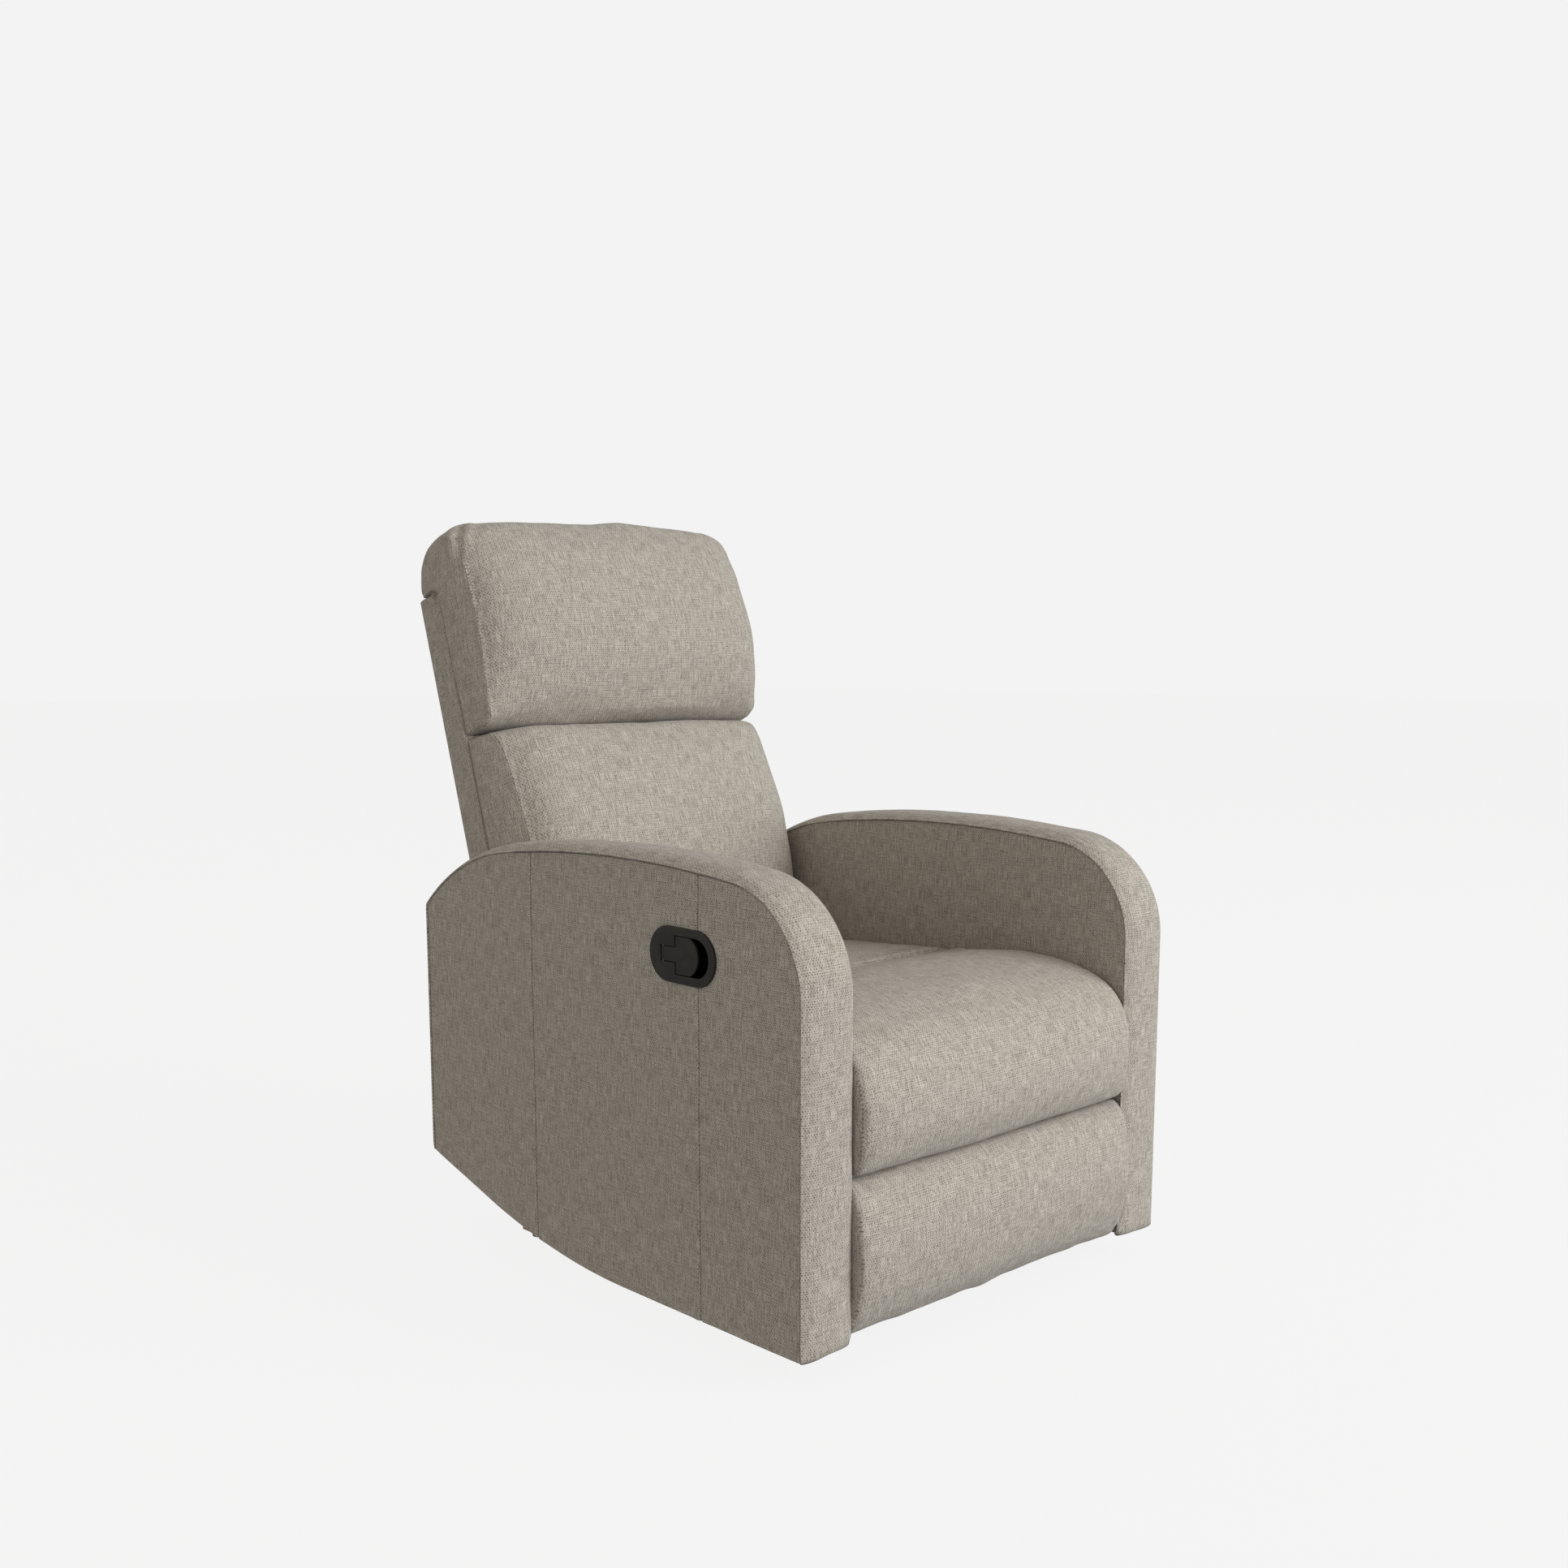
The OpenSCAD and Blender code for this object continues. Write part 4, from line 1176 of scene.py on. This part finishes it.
def make_lumbar():
    """The lower back cushion."""
    foot = [(0.130, -0.170), (0.105, -0.192), (0.080, -0.195), (0.066, -0.190), (0.054, -0.174)]
    rear = [(SUNK_REAR, -0.150), (SUNK_REAR, 0.000), (SUNK_REAR, 0.155)]
    edge = rear + [(0.048, 0.168), (0.070, 0.171), (0.092, 0.168), (0.108, 0.158), (0.117, 0.131),
                   (0.123, 0.094), (0.128, 0.056), (0.132, 0.010), (0.131, -0.050), (0.127, -0.120)] + foot
    middle = rear + [(0.048, 0.169), (0.075, 0.173), (0.110, 0.172), (0.137, 0.165), (0.153, 0.135),
                     (0.164, 0.094), (0.172, 0.056), (0.177, 0.010), (0.176, -0.050), (0.164, -0.120)] + foot
    half = BACK_HALF + 0.0015

    def dress(obj):
        ripple(obj, 0.0018, 0.0009, 51.0)
        b = from_back(positions(obj))
        b[:, 1] = np.maximum(b[:, 1], SUNK_REAR)
        b[:, 2] = np.minimum(b[:, 2], 0.1745)
        b = drawn_in(b, half)
        b[:, 0] = between_arms(b[:, 0], SIDE_GAP)
        return b

    back_cushion("lumbar_cover", "lumbar_cushion", even_pair(edge, middle, 130), half,
                 ((7.5, 1.0), (6.0, 1.7)), taper=(0.020, 0.008), join=(-0.19, 0.170),
                 rests=lambda b: b[:, 1] < REST_BELOW, dress=dress,
                 fill=0.75, cap=0.0035, dome=0.006, crest=0.0014)


def make_head():
    """The upper back cushion, rolled over the top of the back."""
    over_top = [(0.047, 0.3940), (0.030, 0.3930), (0.014, 0.3930), (0.0095, 0.3990)]
    foot = [(0.113, 0.186), (0.095, 0.1775), (0.070, 0.1765), (0.049, 0.1770)]
    rear = [(SUNK_REAR, 0.200), (SUNK_REAR, 0.300), (SUNK_REAR, 0.390)] + over_top
    edge = rear + [(0.014, 0.431), (0.030, 0.458), (0.056, 0.474), (0.085, 0.478), (0.108, 0.461),
                   (0.120, 0.422), (0.1235, 0.376), (0.126, 0.330), (0.125, 0.290), (0.121, 0.250),
                   (0.117, 0.215)] + foot
    middle = rear + [(0.010, 0.440), (0.027, 0.475), (0.060, 0.495), (0.095, 0.498), (0.132, 0.482),
                     (0.160, 0.436), (0.174, 0.384), (0.179, 0.332), (0.176, 0.290), (0.164, 0.250),
                     (0.145, 0.213)] + foot
    half = BACK_HALF + 0.0018
    tucks = [to_back(np.array([(side * (half + 0.001), 0.118, 0.432), (side * (half - 0.010), 0.112, 0.462),
                               (side * (half - 0.030), 0.100, 0.484)])) for side in (-1, 1)]

    def dress(obj):
        for path in tucks:
            fold(obj, path, 0.0050, 0.0060)
        b = from_back(positions(obj))
        # The stuffing sits unevenly along the top and along the bottom edge
        wave = np.interp(b[:, 0], [-0.262, -0.235, -0.170, -0.080, 0.0, 0.055, 0.130, 0.200, 0.262],
                         [-0.009, -0.005, -0.005, -0.003, 0.000, 0.005, 0.001, -0.001, -0.004])
        b[:, 2] += ramp(b[:, 2] - 0.40, 0.08) * wave
        sag = ramp(0.215 - b[:, 2], 0.03) * ramp(b[:, 1] - 0.09, 0.03)
        b[:, 1] += sag * np.interp(b[:, 0], [-0.262, -0.19, -0.12, -0.06, 0.06, 0.09, 0.18, 0.262],
                                   [0.0, 0.003, -0.004, 0.004, 0.012, 0.014, 0.002, 0.0])
        set_positions(obj, to_back(b))
        ripple(obj, 0.0024, 0.0011, 71.0)
        b = from_back(positions(obj))
        below = ramp(BACK_TOP - b[:, 2], 0.008)[:, None]
        b = b + below * (drawn_in(b, half) - b)
        # Above the back's top at the rear, above the lumbar cushion in front, and never out of the rear
        over = (b[:, 1] < 0.0495) & (b[:, 2] > BACK_TOP - 0.012)
        b[:, 2] = np.where(over, np.maximum(b[:, 2], BACK_TOP + 0.0004), np.maximum(b[:, 2], 0.1755))
        b[:, 1] = np.where(b[:, 2] < BACK_TOP, np.maximum(b[:, 1], SUNK_REAR), b[:, 1])
        return b

    back_cushion("head_cover", "head_cushion", even_pair(edge, middle, 150), half,
                 ((5.0, 1.5), (9.0, 2.5)), taper=(0.009, 0.004), join=(0.178, BACK_TOP),
                 rests=lambda b: (b[:, 1] < REST_BELOW) & (b[:, 2] < BACK_TOP), dress=dress,
                 fill=0.8, cap=0.005, dome=0.009, crest=0.0022)


# ---------------------------------------------------------------- back and rear

def make_back_cover():
    """The cloth round the back's frame: rear, sides, top and front."""
    half, rear, front = BACK_HALF + 0.0020, -0.0030, 0.0503
    low, top, edge_r, levels = -0.200, BACK_TOP, 0.004, 80
    outline = rounded([(-half, front, 0.003), (-half, rear, 0.0045),
                       (half, rear, 0.0045), (half, front, 0.003)])
    outline = np.vstack([outline, outline[:1]])
    around = np.concatenate([lengths(outline), lengths(resample(outline, 0.0055))])
    around = np.unique(np.round(around, 5))
    section, around = points_at(outline, around)[:-1], around[:-1]
    middle = (rear + front) / 2
    turn = np.radians(np.linspace(0, 90, 6))[1:]
    heights = np.concatenate([np.linspace(low, top - edge_r, levels), top - edge_r + edge_r * np.sin(turn)])
    drops = np.concatenate([np.zeros(levels), edge_r * (1 - np.cos(turn))])
    rings = []
    for height, drop in zip(heights, drops):
        x = section[:, 0] * (half - drop) / half
        n = middle + (section[:, 1] - middle) * (middle - rear - drop) / (middle - rear)
        rings.append(np.column_stack([x, n, np.full(len(x), height)]))
    rows, columns = len(rings), len(section)
    points = np.vstack(rings)
    first = np.arange(columns)
    faces = [tuple(f) for f in ring_faces(rows, columns)]
    faces += [tuple((rows - 1) * columns + first), tuple(first[::-1])]
    uv = np.column_stack([np.tile(around, rows), points[:, 2]])
    # The rear cloth gives a little between its seams
    inside = np.minimum(half - np.abs(points[:, 0]), top - points[:, 2])
    slack = ramp(inside - 0.01, 0.06) * (points[:, 1] < 0)
    world = to_back(points)
    points[:, 1] -= slack * (0.0010 + 0.0016 * wobble(world, 7, 17) + 0.0005 * wobble(world, 26, 19))
    side_seam = np.hypot(half - np.abs(points[:, 0]) - 0.0012, points[:, 1] - rear - 0.0012)
    obj = build_mesh("back_cover", to_back(points), faces, uv, side_seam)
    fix_normals(obj)
    upholster(obj, "back", "back_rear_cover")


def make_drape():
    """The cloth that closes the rear between the arms, stapled to the stretcher and hanging from it."""
    low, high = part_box("rear_drape")
    columns, rows = 160, 70
    hem = 0.012
    x, z = (v.ravel() for v in np.meshgrid(np.linspace(low[0], high[0], columns),
                                           np.linspace(low[2], high[2], rows)))
    stretched = bump(z - 0.205, 0.04)
    wave = 0.00096 * np.sin(x * 2 * math.pi / 0.13 + 1.3 * np.sin(x * 9))
    y = low[1] + 0.0024 + wave * (1 - stretched)
    edge = np.minimum(np.abs(z - (low[2] + hem)), np.abs(z - (high[2] - hem)))
    obj = build_mesh("rear_cloth", np.column_stack([x, y, z]), grid_faces(rows, columns, True),
                     np.column_stack([x, z]), edge)
    thicken(obj, 0.0012)
    upholster(obj, "seat_frame", "rear_drape")


# ---------------------------------------------------------------- handle

def plate(name, loops, x0, x1, bevel):
    """A flat plate across X with rounded edges, from closed loops of (y, z); later loops are holes."""
    data = bpy.data.curves.new(name, "CURVE")
    data.dimensions = "2D"
    data.fill_mode = "BOTH"
    data.extrude = (x1 - x0) / 2 - bevel
    data.bevel_depth = bevel
    data.bevel_resolution = 3
    data.offset = -bevel
    for loop in loops:
        line = data.splines.new("POLY")
        line.points.add(len(loop) - 1)
        for point, (y, z) in zip(line.points, loop):
            point.co = (y, z, 0, 1)
        line.use_cyclic_u = True
    obj = add_object(name, data)
    mesh = evaluated(obj)
    bpy.data.objects.remove(obj)
    bpy.data.curves.remove(data)
    mesh.transform(Matrix(((0, 0, 1, (x0 + x1) / 2), (1, 0, 0, 0), (0, 1, 0, 0), (0, 0, 0, 1))))
    mesh.name = name
    with editing(mesh) as bm:
        bmesh.ops.remove_doubles(bm, verts=bm.verts, dist=1e-6)
    shade_smooth(mesh)
    mesh.set_sharp_from_angle(angle=math.radians(50))
    return add_object(name, mesh)


def stadium(cy, cz, length, height):
    """A closed outline of two half circles and the straights between them."""
    r = height / 2
    return np.vstack([arc((cy + length / 2 - r, cz), r, -90, 90, 40),
                      arc((cy - length / 2 + r, cz), r, 90, 270, 40)])


def join(first, second):
    """Puts the second object's mesh into the first."""
    mesh = second.data
    with editing(first.data) as bm:
        bm.from_mesh(mesh)
    bpy.data.objects.remove(second)
    bpy.data.meshes.remove(mesh)
    return first


def tube(name, rings, sides):
    """A closed round piece from rings of points, one after another along it."""
    points = np.vstack(rings)
    ends = [tuple(range(sides))[::-1], tuple(range(len(points) - sides, len(points)))]
    obj = build_mesh(name, points, [tuple(f) for f in ring_faces(len(rings), sides)] + ends)
    fix_normals(obj)
    return obj


def rod(name, start, end, radius):
    """A round bar with eased ends."""
    sides, bevel = 24, 0.0003
    a, b = Vector(start), Vector(end)
    axis = (b - a).normalized()
    u = axis.orthogonal().normalized()
    v = axis.cross(u)
    length = (b - a).length
    steps = ((0, radius - bevel), (bevel, radius), (length - bevel, radius), (length, radius - bevel))
    turns = [2 * math.pi * k / sides for k in range(sides)]
    out = [u * math.cos(turn) + v * math.sin(turn) for turn in turns]
    rings = [[a + axis * d + way * r for way in out] for d, r in steps]
    return tube(name, rings, sides)


def wire(name, path, radius, sides):
    """A round wire along a polyline."""
    tangent = np.gradient(path, axis=0)
    tangent /= np.linalg.norm(tangent, axis=1)[:, None]
    u = np.cross(tangent, [0.2, 0.1, 1.0])
    u /= np.linalg.norm(u, axis=1)[:, None]
    v = np.cross(tangent, u)
    turn = (2 * np.pi * np.arange(sides) / sides)[None, :, None]
    out = u[:, None, :] * np.cos(turn) + v[:, None, :] * np.sin(turn)
    return tube(name, path[:, None, :] + radius * out, sides)


def helix(start, end, radius, turns, flat, steps=24):
    """The centre line of a spring between two points, its first and last turns wound closer by flat."""
    start, end = np.array(start), np.array(end)
    axis = end - start
    v = np.array([1.0, 0.0, 0.0])
    u = np.cross(axis, v)
    u /= np.linalg.norm(u)
    t = np.linspace(0, 1, turns * steps + 1)
    near = np.minimum(t, 1 - t)
    squeeze = flat * np.clip(1 - near * turns, 0, 1) * near
    rise = np.where(t < 0.5, t - squeeze, t + squeeze)
    angle = 2 * np.pi * turns * t
    return start + axis * rise[:, None] + radius * (u * np.cos(angle)[:, None] + v * np.sin(angle)[:, None])


def spring_hook(pin, along):
    """The centre line of the open hook at a spring's end, from round its pin to the first turn."""
    across = np.cross(along, [1.0, 0.0, 0.0])
    angle = np.radians(np.linspace(250, 20, 14))
    bend = 0.0042 * (np.outer(-np.cos(angle), -along) + np.outer(np.sin(angle), across))
    return np.vstack([pin + bend, pin + along * 0.009 + across * 0.0045])


def make_springs():
    """The rocker springs under the seat box and the springs that hold the footrest shut."""
    low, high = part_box("rocker_springs")
    y = (low[1] + high[1]) / 2
    for side, word in ((-1, "right"), (1, "left")):
        x = side * (high[0] - 0.0185)
        path = helix((x, y, low[2] + 0.0022), (x, y, high[2] - 0.0022), 0.016, 6, 0.6)
        coil = wire("rocker_spring_" + word, path, 0.0025, 10)
        stand_for(coil, "rocker_springs", CAD_MATERIALS["zinc_steel"])
        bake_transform(coil)
    low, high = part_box("footrest_springs")
    for side, word in ((-1, "right"), (1, "left")):
        x = side * (high[0] - 0.006)
        a = np.array([x, low[1] - 0.008, low[2] + 0.0050])
        b = np.array([x, high[1] + 0.008, high[2] - 0.0050])
        along = (b - a) / np.linalg.norm(b - a)
        turns = helix(a + along * 0.011, b - along * 0.011, 0.005, 26, 0.0, 16)
        path = np.vstack([spring_hook(a, along), turns, spring_hook(b, -along)[::-1]])
        coil = wire("footrest_spring_" + word, path, 0.001, 6)
        stand_for(coil, "footrest_springs", CAD_MATERIALS["zinc_steel"])
        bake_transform(coil)


def make_handle():
    """The recessed pull handle: a bezel with a keyhole opening, and the paddle that fills it."""
    low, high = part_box("handle_bezel")
    cy, cz = (low[1] + high[1]) / 2, (low[2] + high[2]) / 2
    p_low, p_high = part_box("handle_paddle")
    gap = 0.0007
    hinge_y = cy + 0.037
    tab_end, tab_half = hinge_y + 0.0016, 0.0185 / 2
    grip_rear, grip_half = cy + 0.012, (p_high[2] - p_low[2]) / 2
    nose_y, nose_r = cy - 0.003, 0.026
    throat_y, throat_r = cy - 0.0254, grip_half + gap
    slot_end = hinge_y + 0.002 + gap

    def keyhole(front, rear, grip, end, tab):
        """A closed outline: a rounded front, straight to the grip's rear, then the narrower tab."""
        return np.vstack([front, [[rear, cz - grip], [rear, cz - tab], [end, cz - tab],
                                  [end, cz + tab], [rear, cz + tab], [rear, cz + grip]]])

    outer = stadium(cy, cz, high[1] - low[1], high[2] - low[2])
    throat = arc((throat_y, cz), throat_r, 90, 270, 40)
    hole = keyhole(throat, grip_rear + gap, throat_r, slot_end, tab_half + gap)
    bezel = plate("handle_plate", [outer, hole], low[0], high[0], 0.0012)
    stand_for(bezel, "handle_bezel", PLASTIC)
    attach(bezel, "seat_frame")
    side = math.degrees(math.asin(min(1.0, grip_half / nose_r)))
    nose = arc((nose_y, cz), nose_r, 180 - side, 180 + side, 40)
    pad = keyhole(nose, grip_rear, grip_half, tab_end, tab_half)
    blade = plate("handle_blade", [pad], p_low[0], p_low[0] + 0.004, 0.0009)
    paddle = join(blade, rod("lug", (p_low[0] + 0.003, hinge_y, cz), (p_high[0], hinge_y, cz), 0.0022))
    stand_for(paddle, "handle_paddle", PLASTIC)
    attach(paddle, "handle")


# ---------------------------------------------------------------- stage

FLOOR_SIZE = 30.0
FLOOR_DIFFUSE = 0.05
# How bright the floor is to the camera, and to what it lights
FLOOR_SEEN = 0.868
FLOOR_BOUNCE = 0.185
BACKGROUND = rgb(0.896, 0.896, 0.896)
ROOM_LIGHT = rgb(1.035, 0.99, 0.93)
ROOM_STRENGTH = 0.44


def make_stage():
    """A plain pale floor. It is lit evenly, so that only a soft shadow falls on it."""
    corners = [(x * FLOOR_SIZE, y * FLOOR_SIZE, 0) for x, y in ((-1, -1), (1, -1), (1, 1), (-1, 1))]
    mesh = new_mesh("floor", corners, [(0, 1, 2, 3)])
    n = new_material("pale_floor")
    diffuse = n.node("ShaderNodeBsdfDiffuse", 0, {0: rgb(FLOOR_DIFFUSE, FLOOR_DIFFUSE, FLOOR_DIFFUSE)})
    glow = n.node("ShaderNodeEmission", 0, {1: n.camera_ray() * (FLOOR_SEEN - FLOOR_BOUNCE) + FLOOR_BOUNCE})
    n.node("ShaderNodeOutputMaterial", None, {0: n.node("ShaderNodeAddShader", 0, {0: diffuse, 1: glow})})
    mesh.materials.append(n.owner)
    add_object("floor", mesh)


def area_light(name, place, target, size, power, colour):
    """A round soft light that looks at target."""
    data = bpy.data.lights.new(name, "AREA")
    data.shape = "DISK"
    data.size = size
    data.energy = power
    data.color = colour
    lamp = add_object(name, data)
    lamp.location = place
    lamp.rotation_euler = (Vector(place) - Vector(target)).to_track_quat("Z", "Y").to_euler()


def make_light():
    """A pale room, a large soft light in front and to the right, and a weak one on the left."""
    bpy.context.scene.world = bpy.data.worlds.new("studio")
    n = Nodes(bpy.context.scene.world)
    lit = n.node("ShaderNodeBackground", 0, {0: ROOM_LIGHT, 1: ROOM_STRENGTH})
    seen = n.node("ShaderNodeBackground", 0, {0: BACKGROUND})
    both = n.node("ShaderNodeMixShader", 0, {0: n.camera_ray(), 1: lit, 2: seen})
    n.node("ShaderNodeOutputWorld", None, {0: both})
    area_light("key", (2.2, -5.3, 2.25), (0, -0.3, 0.45), 5.2, 335, (0.975, 0.995, 1.01))
    area_light("fill", (-4.5, -0.6, 0.9), (0, -0.1, 0.5), 3.0, 26, (1.0, 0.95, 0.88))


def make_camera():
    """The photograph's viewing angle, fitted to the chair's straight edges."""
    data = bpy.data.cameras.new("camera")
    data.lens = 38.26
    data.sensor_width = 36
    data.shift_y = 0.0746
    camera = add_object("camera", data)
    camera.location = (-1.6235, -1.7543, 0.850)
    camera.rotation_euler = (math.radians(81.611), 0, math.radians(-43.507))
    bpy.context.scene.camera = camera


make_camera()
make_light()
make_stage()
bpy.context.scene.view_settings.view_transform = "Standard"
dress_cad()
make_arms()
make_seat()
make_footrest()
make_lumbar()
make_head()
make_back_cover()
make_drape()
make_handle()
make_springs()
